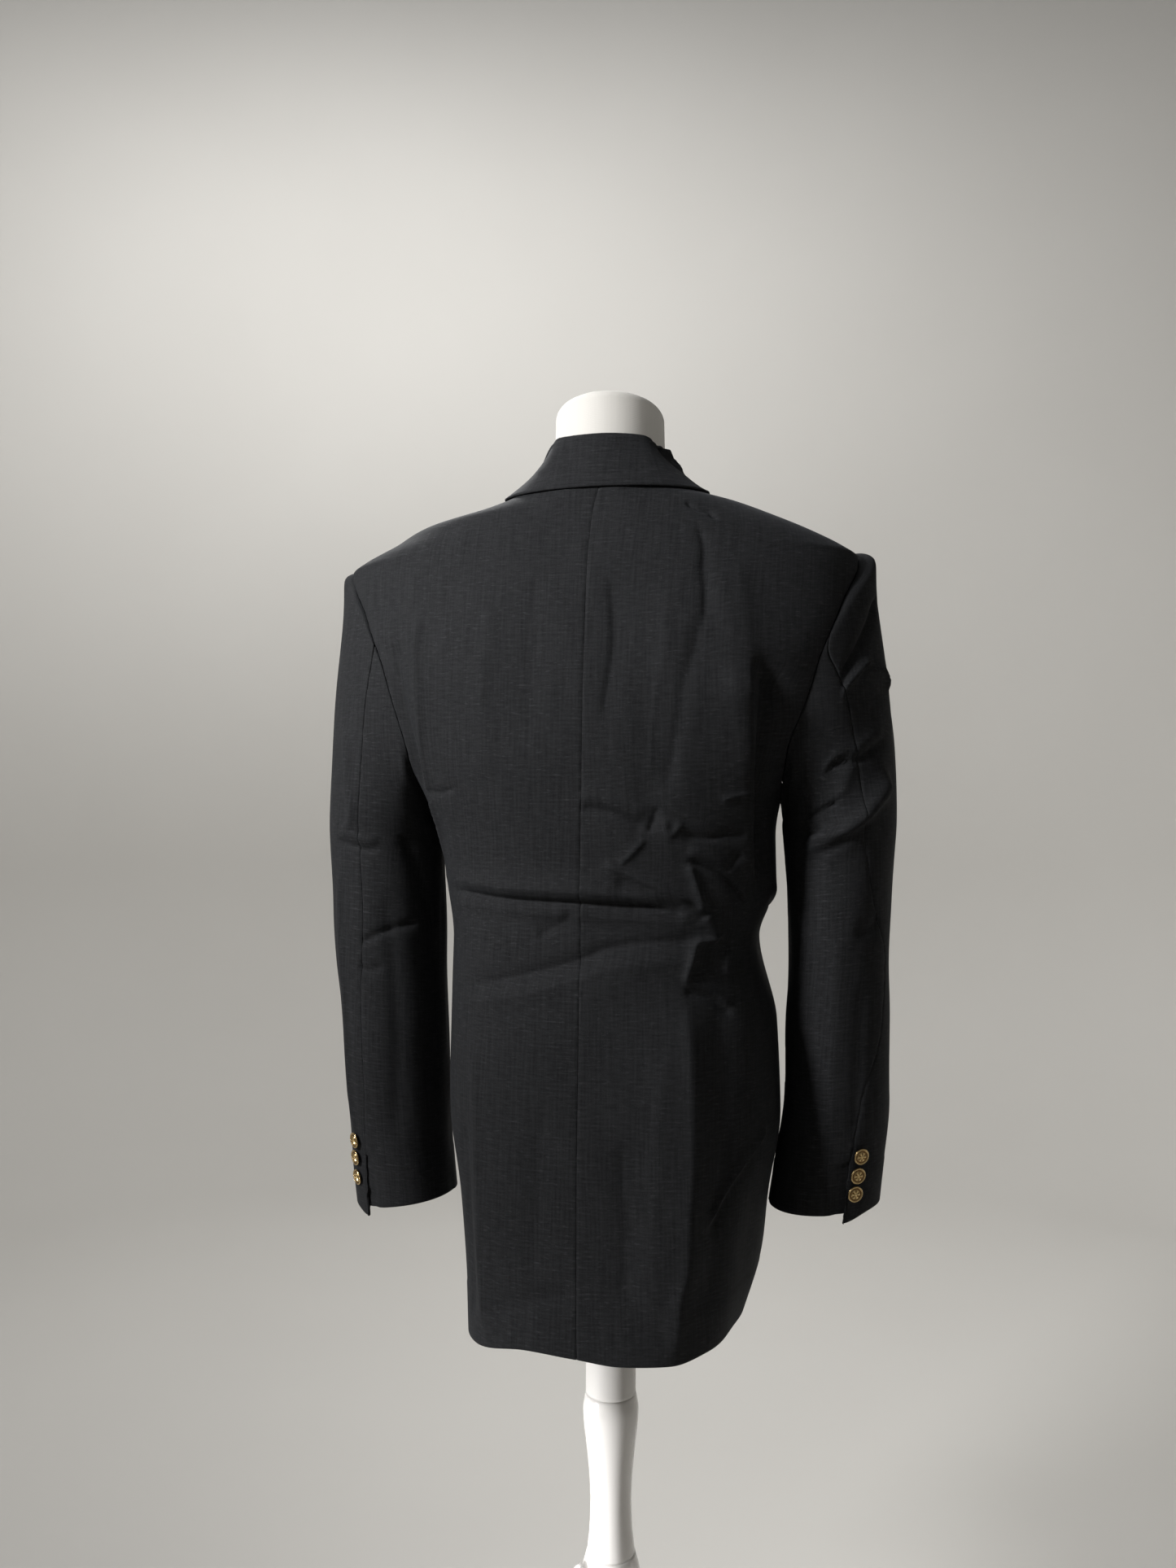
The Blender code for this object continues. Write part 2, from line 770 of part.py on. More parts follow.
def add_collar(material, parent):
    """The fall, a wall from the roll line down to its outer edge."""
    stations = collar_stations(COLLAR_COLUMNS)
    roll = collar_roll(stations)
    edge = collar_edge(stations, np.full_like(stations, COLLAR_LIFT))
    share = np.linspace(0, 1, COLLAR_ROWS)[:, None, None]
    points = mix(roll[None], edge[None], share)
    dip = collar_value("dip", stations) * MM
    points[..., 2] -= (4 * share * (1 - share))[..., 0] * dip
    points = pushed_clear(points, COLLAR_LIFT)
    normals = -grid_normals(points)
    add_wall("collar", points, normals, np.zeros(points.shape[:2]), material, parent)


def add_collar_stand(material, parent):
    """The inner stand, from the neckline up to just inside the roll."""
    stations = np.linspace(-STAND_STATION, STAND_STATION, STAND_COLUMNS)
    angle = np.sign(stations) * collar_value("base_angle", stations) * DEG
    base = body_surface(angle, neck_height(angle) + 2 * SEAM_GAP)
    roll = collar_roll(stations)
    inward = -roll * np.array([1, 1, 0])
    top = roll + unit(inward) * (WALL + 3 * SEAM_GAP)
    top[..., 2] -= SEAM_GAP
    share = np.linspace(0, 1, 4)[:, None, None]
    points = mix(top[None], base[None], share)
    normals = -grid_normals(points)
    add_wall("collar_stand", points, normals, np.zeros(points.shape[:2]), material, parent)


def add_lapel(name, side, first, material, parent):
    """A lapel turned back on its front panel, from the break up to the gorge."""
    along = np.linspace(first, 100, LAPEL_ROWS)[:, None]
    across = np.linspace(0, 1, LAPEL_COLUMNS)[None, :]
    inner_height = LAPEL("inner", along) * MM
    outer_height = LAPEL("outer", along) * MM
    inner = roll_line(inner_height)
    if side > 0:
        inner = np.maximum(inner, -inner + LAPEL_CLEAR)
    outer = roll_line(outer_height) + LAPEL("width", along) * MM
    x = side * mix(inner, outer, across)
    height = mix(inner_height, outer_height, across)
    angle = front_angle(x, height)
    lift = LAPEL_LIFT + ROLL_RISE * (1 - across) ** 2 + lap_out(side, angle, height) + WALL
    add_wall(name, body_surface(angle, height), body_normal(angle, height), lift, material, parent)


def form_point(angle, height):
    """The dress form's face: under the cloth's inner face, with narrower shoulders and a neck."""
    level = height / MM
    under = body_point(angle, height, -WALL - FORM("inset", level) * MM)
    neck = np.stack([FORM_NECK * np.sin(angle), FORM_NECK * np.cos(angle), height], axis=-1)
    point = mix(under, neck, FORM("neck", level)[..., None] / 100)
    wide, room = FORM_SHOULDER
    beyond = np.maximum(np.abs(point[..., 0]) - wide, 0)
    inside = np.minimum(np.abs(point[..., 0]), wide)
    point[..., 0] = np.sign(point[..., 0]) * (inside + room * np.tanh(beyond / room))
    return point


def add_form(material, parent):
    """The torso and neck, one closed jersey-covered body with a slanted top."""
    angle = np.arange(FORM_SEGMENTS) * 2 * math.pi / FORM_SEGMENTS
    rings = []
    for shrink, rise in FORM_BOTTOM_EDGE:
        ring = form_point(angle, np.full_like(angle, FORM_BOTTOM + rise * MM))
        ring[:, :2] *= 1 - shrink * MM / 0.130
        rings.append(ring)
    for level in FORM_LEVELS:
        rings.append(form_point(angle, np.full_like(angle, level * MM)))
    for shrink, drop in FORM_TOP_EDGE:
        radius = FORM_NECK - shrink * MM
        x = radius * np.sin(angle)
        y = radius * np.cos(angle)
        rings.append(np.stack([x, y, FORM_TOP + FORM_TOP_SLOPE * (y - FORM_NECK) - drop * MM], axis=-1))
    work = bmesh.new()
    rows = [[work.verts.new(point) for point in ring] for ring in rings]
    for low, high in zip(rows, rows[1:]):
        for k in range(FORM_SEGMENTS):
            n = (k + 1) % FORM_SEGMENTS
            work.faces.new((low[k], low[n], high[n], high[k]))
    work.faces.new(rows[0])
    work.faces.new(rows[-1])
    add_object("form_torso", work, material, parent)


def leg_mesh():
    """A leg that sweeps out from the hub along +X and down to its foot."""
    work = bmesh.new()
    rings = []
    for place in np.linspace(0, 100, LEG_ROWS):
        reach, height = LEG("reach", place) * MM, LEG("height", place) * MM
        ahead = np.array([LEG("reach", place + 1) - LEG("reach", place - 1), 0])
        ahead[1] = LEG("height", place + 1) - LEG("height", place - 1)
        level = smooth_step(1 - place / LEG_END_TURN)
        upright = smooth_step(1 - (100 - place) / LEG_END_TURN)
        ahead = ahead / np.linalg.norm(ahead) * (1 - level - upright)
        ahead = unit(ahead + np.array([level, -upright]))
        tall, wide = LEG("half_height", place) * MM, LEG("half_width", place) * MM
        ring = []
        for k in range(LEG_SEGMENTS):
            turn = 2 * math.pi * k / LEG_SEGMENTS
            up = tall * math.sin(turn)
            point = (reach - ahead[1] * up, wide * math.cos(turn), height + ahead[0] * up)
            ring.append(work.verts.new(point))
        rings.append(ring)
    for low, high in zip(rings, rings[1:]):
        for k in range(LEG_SEGMENTS):
            n = (k + 1) % LEG_SEGMENTS
            work.faces.new((low[k], low[n], high[n], high[k]))
    work.faces.new(rings[0])
    work.faces.new(rings[-1])
    return work


def add_stand(paint, parent):
    add_object("pole_tube", lathe(scaled(TUBE_PROFILE), POLE_SEGMENTS), paint, parent)
    add_object("pole_turned", lathe(scaled(POLE_PROFILE), POLE_SEGMENTS), paint, parent)
    add_object("base_hub", lathe(scaled(HUB_PROFILE), POLE_SEGMENTS), paint, parent)
    for number, heading in enumerate(LEG_HEADINGS, start=1):
        leg = add_object(f"leg_{number}", leg_mesh(), paint, parent)
        leg.rotation_euler.z = heading * DEG
        foot = add_object(f"foot_{number}", lathe(scaled(FOOT_PROFILE), FOOT_SEGMENTS), paint, parent)
        foot.location.x = LEG_REACH * math.cos(heading * DEG)
        foot.location.y = LEG_REACH * math.sin(heading * DEG)


def scaled(profile):
    return [(radius * MM, height * MM) for radius, height in profile]


def add_button(name, point, normal, radius, material, parent):
    """A domed metal button with a raised rim and a short shank, standing just off the cloth."""
    profile = [(share * radius, height * MM) for share, height in BUTTON_PROFILE]
    button = add_object(name, lathe(profile, BUTTON_SEGMENTS), material, parent)
    button.location = tuple(point + normal * SEAM_GAP)
    button.rotation_euler = Vector(normal).to_track_quat("Z", "Y").to_euler()


def add_cuff_buttons(which, side, material, parent):
    for number, height in enumerate(CUFF_BUTTON_HEIGHTS[which], start=1):
        level = height * MM
        along = np.array(1 + (CAP_END - level) / (CAP_END - CUFF[which]))
        hind = float(SLEEVES[which]("hind_seam", height))
        angle = np.array(hind - CUFF_BUTTON_IN[which] / SLEEVE_RADIUS / DEG)
        point = sleeve_surface(which, side, angle, along)
        normal = sleeve_normal(which, side, angle, along)
        name = f"cuff_button_{which}_{number}"
        add_button(name, point, normal, CUFF_BUTTON_RADIUS, material, parent)


def add_front_buttons(material, parent):
    for number, height in enumerate(FRONT_BUTTON_HEIGHTS, start=1):
        level = np.array(height * MM)
        angle = front_angle(np.array(0.0), level)
        point = body_point(angle, level, LAP_RISE)
        name = f"front_button_{number}"
        add_button(name, point, body_normal(angle, level), FRONT_BUTTON_RADIUS, material, parent)


def main():
    clear_scene()
    cloth = finish("blazer_cloth", (0.012, 0.012, 0.013), 0.85)
    jersey = finish("form_jersey", (0.86, 0.85, 0.83), 0.9)
    paint = finish("stand_paint", (0.88, 0.87, 0.84), 0.25)
    gold = finish("button_gold", (0.80, 0.58, 0.25), 0.3, 1.0)
    axis = bpy.data.objects.new("pole_axis", None)
    bpy.context.scene.collection.objects.link(axis)
    axis.location = (POLE_X, POLE_Y, 0)
    for which, side in (("left", 1), ("right", -1)):
        add_back(f"back_{which}", side, cloth, axis)
        add_front(f"front_{which}", side, cloth, axis)
        top = f"top_sleeve_{which}"
        add_sleeve_piece(top, which, side, "hind", FRONT_SEAM, TOP_COLUMNS, cloth, axis)
        under = f"under_sleeve_{which}"
        last = FRONT_SEAM + 360
        add_sleeve_piece(under, which, side, "hind", last, UNDER_COLUMNS, cloth, axis)
        add_lapel(f"lapel_{which}", side, LAPEL_START[which], cloth, axis)
        add_cuff_buttons(which, side, gold, axis)
    add_collar(cloth, axis)
    add_collar_stand(cloth, axis)
    add_front_buttons(gold, axis)
    add_form(jersey, axis)
    add_stand(paint, axis)


main()
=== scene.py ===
"""Looks of a long black blazer on a limbless dress form with a turned pole and a tripod base.

Metres, +Z up. The wearer's left is +X and the wearer faces -Y. The tables and the heights of
buttons are in millimetres, and the angles in tables and named values are in degrees. Angles
round the body start at the centre back and grow towards the wearer's left. Angles round a
sleeve start at its outer side and grow through the back. Each cloth piece is a fine closed wall
on the form of its solid, with the creases, seams and turn-ups worked into it.
"""

import math

import bpy
import numpy as np
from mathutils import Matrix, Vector


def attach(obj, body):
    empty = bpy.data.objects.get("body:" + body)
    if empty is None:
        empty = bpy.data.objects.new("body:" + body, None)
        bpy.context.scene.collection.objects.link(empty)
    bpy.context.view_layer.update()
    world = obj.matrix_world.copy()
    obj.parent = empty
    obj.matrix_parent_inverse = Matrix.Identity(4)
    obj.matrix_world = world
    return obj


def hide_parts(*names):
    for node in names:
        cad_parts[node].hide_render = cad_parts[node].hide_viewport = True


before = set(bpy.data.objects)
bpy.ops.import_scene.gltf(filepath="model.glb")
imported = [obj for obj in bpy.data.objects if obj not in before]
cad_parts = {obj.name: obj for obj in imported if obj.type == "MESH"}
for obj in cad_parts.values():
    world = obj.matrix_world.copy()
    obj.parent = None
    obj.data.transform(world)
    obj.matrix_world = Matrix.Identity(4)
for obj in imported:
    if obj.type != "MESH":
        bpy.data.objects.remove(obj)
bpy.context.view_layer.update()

MM = 0.001
DEG = math.pi / 180

# Camera, as worked out from the photograph: it stands behind the form, a little to the right
CAMERA_TURN = 9.0
CAMERA_DISTANCE = 1.13
CAMERA_HEIGHT = 1.03
CAMERA_UP = 2.0
CAMERA_ASIDE = 1.09
LENS = 27.03
SENSOR = 36.0

# Studio
ROOM_RADIUS = 3.2
ROOM_CORNER = 0.9
ROOM_CENTRE = 0.02
ROOM_HEIGHT = 4.6
ROOM_CORNER_ROWS = 16
ROOM_SEGMENTS = 96
AMBIENT = 0.14
AIR_COLOUR = (0.95, 0.97, 1.0, 1)

# Lights: place, what it points at, size, power in watts and spread in degrees
LIGHTS = {
    "key": ((1.44, 1.44, 2.00), (0.15, 0.05, 1.24), 0.50, 7.2, 60),
    "neck": ((-0.35, 2.0, 2.0), (-0.01, 0.0, 1.46), 0.25, 0.045, 18),
    "low": ((1.3, 1.0, 0.25), (0.0, 0.0, 0.20), 0.4, 2.4, 34),
    "wall": ((0.65, -1.1, 3.3), (0.75, -3.2, 1.2), 1.8, 58, 180),
    "front": ((0.9, -1.5, 2.8), (0.0, 0.0, 1.05), 0.5, 11, 110),
}

# Cloth
WALL = 0.002
THREAD = 0.0007
GRAIN_LEAN = 0.1
SEAM_GAP = 0.0003
SEAM_DIP = 0.0005
SEAM_WIDTH = 0.0013
PUCKER = 0.00018
PUCKER_LENGTH = 0.017
TURN_UP = 0.042
TURN_UP_RISE = 0.0004
TURN_UP_EDGE = 0.002
RIM_BULGE = 0.0006

# Creases: points along one, its reach in widths, how soon its ends fade, and its cross-section
CREASE_STEPS = 28
CREASE_REACH = 3.6
CREASE_FADE = 0.16
CREST_ROUND = 0.35
FLANK_SLOPE = 1.25

# The radius that the body is unrolled from, and how the largest folds fade at their ends
UNROLLED_RADIUS = 0.150
FOLD_ENDS = 0.02
FOLD_FADE = 0.6

# Slight waves all over the cloth: out, the lengths across and upward, and the phase
WAVES = ((0.35, 118, 61, 0.4), (0.30, -74, 97, 1.9), (0.22, 47, 133, 4.1), (0.16, 39, -52, 2.7))

# Heights above the floor
ARMPIT = 1.052
SHOULDER_TIP = 1.283
NECK_BACK = 1.352
NECK_SIDE = 1.358
BREAK = 0.965

# Beside the armhole the folds fade over this width, which begins over this many rows
ARMHOLE_EASE = 0.009
EASE_ROWS = 12

# Front closure
LAP = 0.020
LAP_RISE = 0.0028
LAP_EASE = (0.055, 0.025)
ROLL_TOP_X = 0.068
SIDE_SEAM = 96.0

# Sleeves: the cap leaves the armhole outward, and swells where the sleeve head fills it
SIDES = {"left": 1, "right": -1}
CAP_END = 1.020
CAP_LENGTH = 0.257
CAP_OUT = {"left": 0.024, "right": 0.046}
CAP_OUT_LEVEL = 0.62
CAP_OUT_CHANGE = 0.38
CAP_BACK = 0.006
CAP_DIP = 0.006
CAP_RISE = 0.002
CAP_SINK = 0.014
CAP_FALL = 0.140
CAP_FALL_CHANGE = 0.110
CAP_CROWDING = 1.6
CAP_STEP = 0.01
HEAD_OUT = {"left": 0.0075, "right": 0.0115}
HEAD_PLACE = 0.09
SLEEVE_RADIUS = 0.055
FRONT_SEAM = -135
HIND_SEAM_TOP = 75
HIND_SWELL = {"left": 1, "right": 7}
HIND_SWELL_PLACE = 0.16
CUFF = {"left": 0.664, "right": 0.678}
CUFF_TILT = {"left": -0.10, "right": 0.09}
CUFF_LEVEL = 0.720
VENT_TOP = 1.85
VENT_START = 6
VENT_OPEN = 1.2
VENT_DROP = 0.024
VENT_SHARE = 0.10
UNDERLAP = 0.007
UNDERLAP_SHARE = 0.12
UNDERLAP_DEPTH = 0.0026

# Collar and lapels
COLLAR_LIFT = 0.0030
COLLAR_ROLL = 0.0032
STAND_STATION = 3.9
STATION_LENGTH = 0.030
FALL_LENGTH = 0.050
LAPEL_CLEAR = 0.0015
LAPEL_LIFT = 0.0012
LAPEL_CURL = 0.0034
ROLL_RISE = 0.0025
LAPEL_START = {"left": 17, "right": 0}
LAPEL_SETTLE = 0.1
NOTCH_POWER = 9
NOTCH_START = 3
CURL_END = 70

# Dress form and stand
FORM_BOTTOM = 0.655
FORM_BOTTOM_ROUND = 0.012
FORM_BOTTOM_RADIUS = 0.130
FORM_NECK = 0.0525
FORM_TOP = 1.436
FORM_TOP_SLOPE = 0.16
FORM_EDGE = 0.009
FORM_SHOULDER = (0.120, 0.055)
FORM_HIDDEN_ROOM = (0.0025, 0.015)
FORM_SIDE = 0.4
FORM_SIDE_SLOPE = 1.6
LEG_REACH = 0.250
LEG_HEADINGS = (-90, 30, 150)
LEG_END_TURN = 14
POLE_X = -0.006
POLE_Y = LEG_REACH / 4

# Buttons
CUFF_BUTTON_RADIUS = 0.0075
CUFF_BUTTON_IN = {"left": 0.0145, "right": 0.0085}
CUFF_BUTTON_HEIGHTS = {"left": (728, 711, 692), "right": (732, 714, 697)}
FRONT_BUTTON_RADIUS = 0.010
FRONT_BUTTON_HEIGHTS = (945, 850)

# A button's rim from the cloth up: share of its radius, and height in millimetres
BUTTON_RIM = ((0.35, 0), (0.35, 1.2), (0.80, 1.3), (0.95, 1.5), (1.00, 1.9), (1.00, 2.3))
DOME_EDGE = 0.985
DOME_MIDDLE = 0.02
DOME_BASE = 2.35
DOME_RISE = 0.85
DOME_CURVE = 0.92

# The relief on its dome, in the same units: a roped rim, a sunk band, petals and a heart, and the
# heights that count as its hollows and its crests
ROPE_PLACE = 0.90
ROPE_WIDTH = 0.07
ROPE_HEIGHT = 0.50
ROPE_DEPTH = 0.34
ROPE_TURNS = 24
ROPE_SLANT = 22
BAND_PLACE = 0.70
BAND_WIDTH = 0.09
BAND_DEPTH = 0.60
PETALS = 6
PETAL_REACH = (0.14, 0.50)
PETAL_HEIGHT = 0.85
PETAL_ROUND = 1.7
PETAL_SUNK = 0.8
HEART_WIDTH = 0.14
HEART_HEIGHT = 0.80
BUTTON_HOLLOW = -0.55
BUTTON_CREST = 0.65

# Finenesses of the grids
PANEL_ROWS = 250
WAIST_SHARE = 0.66
WAIST_CROWDING = -0.45
ARMHOLE_ROWS = 72
SHOULDER_ROWS = 56
BACK_COLUMNS = 118
BACK_WIDTH = 0.24
FRONT_COLUMNS = 50
FRONT_WIDTH = 0.15
CAP_ROWS = 90
SLEEVE_ROWS = 140
TOP_SPACING = (66, 0.18)
UNDER_SPACING = (36, 0.13)
SEAM_COLUMNS = (0, 0.0006, 0.0013, 0.0022, 0.0034)
SEAM_CLEAR = 0.005
COLLAR_COLUMNS = 241
COLLAR_ROWS = 26
ROLL_ROWS = 9
LAPEL_ROWS = 90
LAPEL_COLUMNS = 26
FORM_SEGMENTS = 96
FORM_EDGE_ROWS = 7
FORM_TOP_ROWS = 8
FORM_LEVELS = ((0.68, 1.25, 40), (1.257, 1.374, 60))
TURNED_SEGMENTS = 72
TURNED_ROWS = 60
LEG_ROWS = 60
LEG_SEGMENTS = 28
BUTTON_SEGMENTS = 72
BUTTON_ROWS = 26


def hermite(start, start_slope, end, end_slope, t):
    """The cubic between two values with the given slopes, for t from 0 to 1."""
    t2 = t * t
    t3 = t2 * t
    start_part = (2 * t3 - 3 * t2 + 1) * start + (t3 - 2 * t2 + t) * start_slope
    end_part = (3 * t2 - 2 * t3) * end + (t3 - t2) * end_slope
    return start_part + end_part


def smooth_step(value):
    value = np.clip(value, 0, 1)
    return value * value * (3 - 2 * value)


def mix(a, b, t):
    return a + (b - a) * t


def unit(vectors):
    return vectors / np.linalg.norm(vectors, axis=-1, keepdims=True)


def xyz(x, y, z):
    """Points from their coordinates, each an array or a number."""
    return np.stack(np.broadcast_arrays(x, y, z), axis=-1)


def around(radius, turn, height):
    return xyz(radius * np.cos(turn), radius * np.sin(turn), height)


def full_turn(segments):
    """Evenly spaced angles round a circle."""
    return np.arange(segments) * 2 * math.pi / segments


def half_turns(degrees):
    """The same direction, from -180 to 180 degrees."""
    return (degrees + 180) % 360 - 180


class Table:
    """A short table with named columns, read as smooth curves of its first column."""

    def __init__(self, columns, *rows):
        self.columns = columns.split()
        self.values = np.array(rows, float)

    def __call__(self, column, where):
        x = self.values[:, 0]
        y = self.values[:, self.columns.index(column)]
        step = np.diff(x)
        rise = np.diff(y) / step
        slope = np.zeros_like(y)
        slope[0] = rise[0]
        slope[-1] = rise[-1]
        same_way = rise[:-1] * rise[1:] > 0
        total = np.where(same_way, rise[:-1] + rise[1:], 1)
        slope[1:-1] = np.where(same_way, 2 * rise[:-1] * rise[1:] / total, 0)
        where = np.clip(where, x[0], x[-1])
        i = np.clip(np.searchsorted(x, where, side="right") - 1, 0, len(step) - 1)
        t = (where - x[i]) / step[i]
        return hermite(y[i], slope[i] * step[i], y[i + 1], slope[i + 1] * step[i], t)


def smooth_line(points, count):
    """Evenly spaced points, in metres, of a smooth line through points in millimetres."""
    length = np.linalg.norm(np.diff(points, axis=0), axis=1)
    along = np.concatenate([[0], np.cumsum(length)])
    line = Table("along first second", *np.column_stack([along, points]))
    steps = np.linspace(0, along[-1], count)
    return np.column_stack([line("first", steps), line("second", steps)]) * MM


def bell(away, width):
    return np.exp(-((away / width) ** 2))


def swell(along, place):
    """Rises from 0 to 1 at the place, and fades slowly after it."""
    return along / place * np.exp(1 - along / place)


# The body's level sections: reach to each side, squareness of each side behind and of the front,
# and the sideways place of the centre-back seam
BODY = Table(
    "height left right back front left_power right_power front_power seam",
    (570, 119, 120, 134, 150, 3.9, 2.6, 2.4, 7.5),
    (640, 124, 141, 135, 150, 3.7, 2.7, 2.4, 8.0),
    (700, 131.5, 149.5, 135, 150, 3.3, 2.8, 2.4, 8.0),
    (770, 143, 159.5, 134, 148, 3.0, 2.8, 2.4, 7.5),
    (850, 146, 156, 131, 142, 2.8, 2.7, 2.4, 7.0),
    (925, 146, 141, 123, 136, 2.6, 2.6, 2.4, 6.8),
    (975, 152, 157, 124, 140, 2.6, 2.6, 2.4, 6.6),
    (1020, 157, 156, 130, 147, 2.7, 2.7, 2.4, 5.5),
    (1052, 170, 161, 133, 148, 2.8, 2.8, 2.4, 4.5),
    (1090, 191, 180, 135, 146, 2.8, 2.8, 2.4, 3.6),
    (1140, 216, 212, 134, 140, 2.7, 2.7, 2.4, 3.0),
    (1200, 241, 234, 126, 124, 2.5, 2.5, 2.3, 2.6),
    (1237, 249, 237, 118, 112, 2.3, 2.3, 2.2, 2.8),
    (1262, 254, 236.5, 111, 104, 2.2, 2.2, 2.1, 3.0),
    (1277, 257, 234, 106, 98, 2.1, 2.1, 2.1, 2.8),
    (1285, 247, 224, 103, 94, 2.1, 2.1, 2.1, 2.5),
    (1300, 217, 197, 98, 86, 2.1, 2.1, 2.1, 1.8),
    (1315, 190, 164, 92, 77, 2.1, 2.1, 2.1, 0.5),
    (1327, 136, 134, 87, 70, 2.1, 2.1, 2.1, -1.5),
    (1335, 107, 107, 84, 66, 2.1, 2.1, 2.1, -3.0),
    (1345, 92, 88, 78, 61, 2.1, 2.1, 2.1, -3.0),
    (1358, 74, 74, 70, 56, 2.1, 2.1, 2.1, -3.0),
    (1372, 64, 64, 62, 50, 2.1, 2.1, 2.1, -3.0),
)

# The hem's height round the body
HEM = Table(
    "angle height",
    (-180, 590), (-90, 590), (-60, 587), (-45, 584), (-30, 580), (-12, 580), (4, 584),
    (22, 588), (40, 583), (60, 583), (90, 590), (180, 590),
)

# The body angles of the armhole's edge, behind and in front, from the shoulder tip to the armpit
ARMHOLE = Table(
    "round back front",
    (0, 90, 90), (30, 85, 97), (60, 74.5, 109),
    (90, 66.5, 119), (120, 64.5, 122), (150, 73, 115),
    (180, SIDE_SEAM, SIDE_SEAM),
)

# The sleeves' level sections below the cap: middle, half sizes and the angle of the hind-arm seam
SLEEVE_COLUMNS = "height out back half_width half_depth hind_seam"
SLEEVES = {
    "left": Table(
        SLEEVE_COLUMNS,
        (655, 210, -30, 49, 52, 62),
        (720, 215, -24, 49.2, 54, 64),
        (780, 216, -16, 51.2, 56, 71),
        (860, 217.6, -8, 51.9, 58, 73),
        (900, 219.5, -5, 53, 59, 78),
        (950, 221.4, -2, 54.7, 60, 84),
        (1020, 222, 2, 55.3, 62, 82),
    ),
    "right": Table(
        SLEEVE_COLUMNS,
        (655, 195.7, -30, 50.7, 52, 73),
        (720, 204.2, -24, 49.8, 54, 71),
        (780, 211, -16, 48, 56, 65),
        (850, 211.8, -8, 46.7, 57, 34),
        (905, 212.7, -4, 44.7, 58, 27),
        (960, 214, -1, 47, 60, 52),
        (1020, 214, 2, 50.9, 62, 68),
    ),
}

# The collar from its right end to its left: its base, its roll, its outer edge and the fall's dip
COLLAR = Table(
    "station base_angle roll_out roll_back roll edge_angle edge dip",
    (-6, -152, -51, -99, 1281, -131, 1261, 2),
    (-5, -138, -61, -72, 1327, -122, 1303, 1),
    (-4, -112, -62, -32, 1362, -110, 1330, 4),
    (-3, -90, -59, 0, 1374, -86, 1340, 12),
    (-2, -65, -53, 27, 1384, -60, 1334, 1),
    (-1, -35, -40, 51, 1390, -32, 1333, 0),
    (0, 0, 0, 64, 1390, 0, 1333, 0),
    (1, 35, 43, 49, 1392, 32, 1333, 0),
    (2, 65, 54, 27, 1379, 60, 1335, 0),
    (3, 90, 59.5, 0, 1371, 86, 1341, 4),
    (4, 112, 63, -32, 1361, 110, 1330, 0),
    (5, 138, 61, -72, 1327, 122, 1303, 1),
    (6, 152, 51, -99, 1281, 131, 1261, 2),
)

# The lapels from the break to the notch: heights at the roll line and at the edge, and width
LAPEL = Table(
    "along inner outer width",
    (0, 970, 967, 4),
    (25, 1046, 1030, 30),
    (50, 1122, 1093, 52),
    (75, 1198, 1155, 70),
    (100, 1274, 1216, 80),
)

# How far the form lies in from the cloth, and how much of it is neck, in hundredths
FORM = Table(
    "height inset neck",
    (640, 12, 0), (800, 11, 0), (950, 9, 0),
    (1050, 6, 0), (1150, 4, 0), (1230, 2, 0),
    (1280, 1.8, 0), (1330, 1.8, 0), (1345, 1, 8),
    (1358, 1, 45), (1372, 1, 88), (1386, 1, 100),
)

# Turned pieces: radius and height, bottom to top
TURNED = {
    "pole_tube": ((23.5, 497), (23.5, 520), (23.5, 560), (23.5, 610), (23.5, 654.7)),
    "pole_turned": (
        (22.5, 349.5), (20.0, 375), (19.3, 395), (20.3, 420), (23.3, 450), (25.8, 472), (26.2, 482),
        (25.0, 491), (23.6, 496.7),
    ),
    "base_hub": ((4, 284.2), (14, 287), (24, 298), (29, 318), (27, 334), (23, 349.2)),
}

FOOT_PROFILE = ((19, 0), (20.6, 1.2), (21, 3), (20.8, 6), (20, 9), (18, 11.3), (15, 12.2))

# A leg from the hub to the foot
LEG = Table(
    "place reach height half_height half_width",
    (0, 29.5, 328, 16.0, 11.0),
    (12, 53, 311, 14.0, 11.5),
    (26, 90, 278, 13.5, 11.5),
    (42, 131, 228, 12.5, 11.0),
    (58, 171, 166, 11.5, 10.5),
    (74, 207, 103, 10.5, 10.0),
    (88, 236, 48, 9.5, 9.5),
    (100, 250, 12.6, 9.0, 9.0),
)

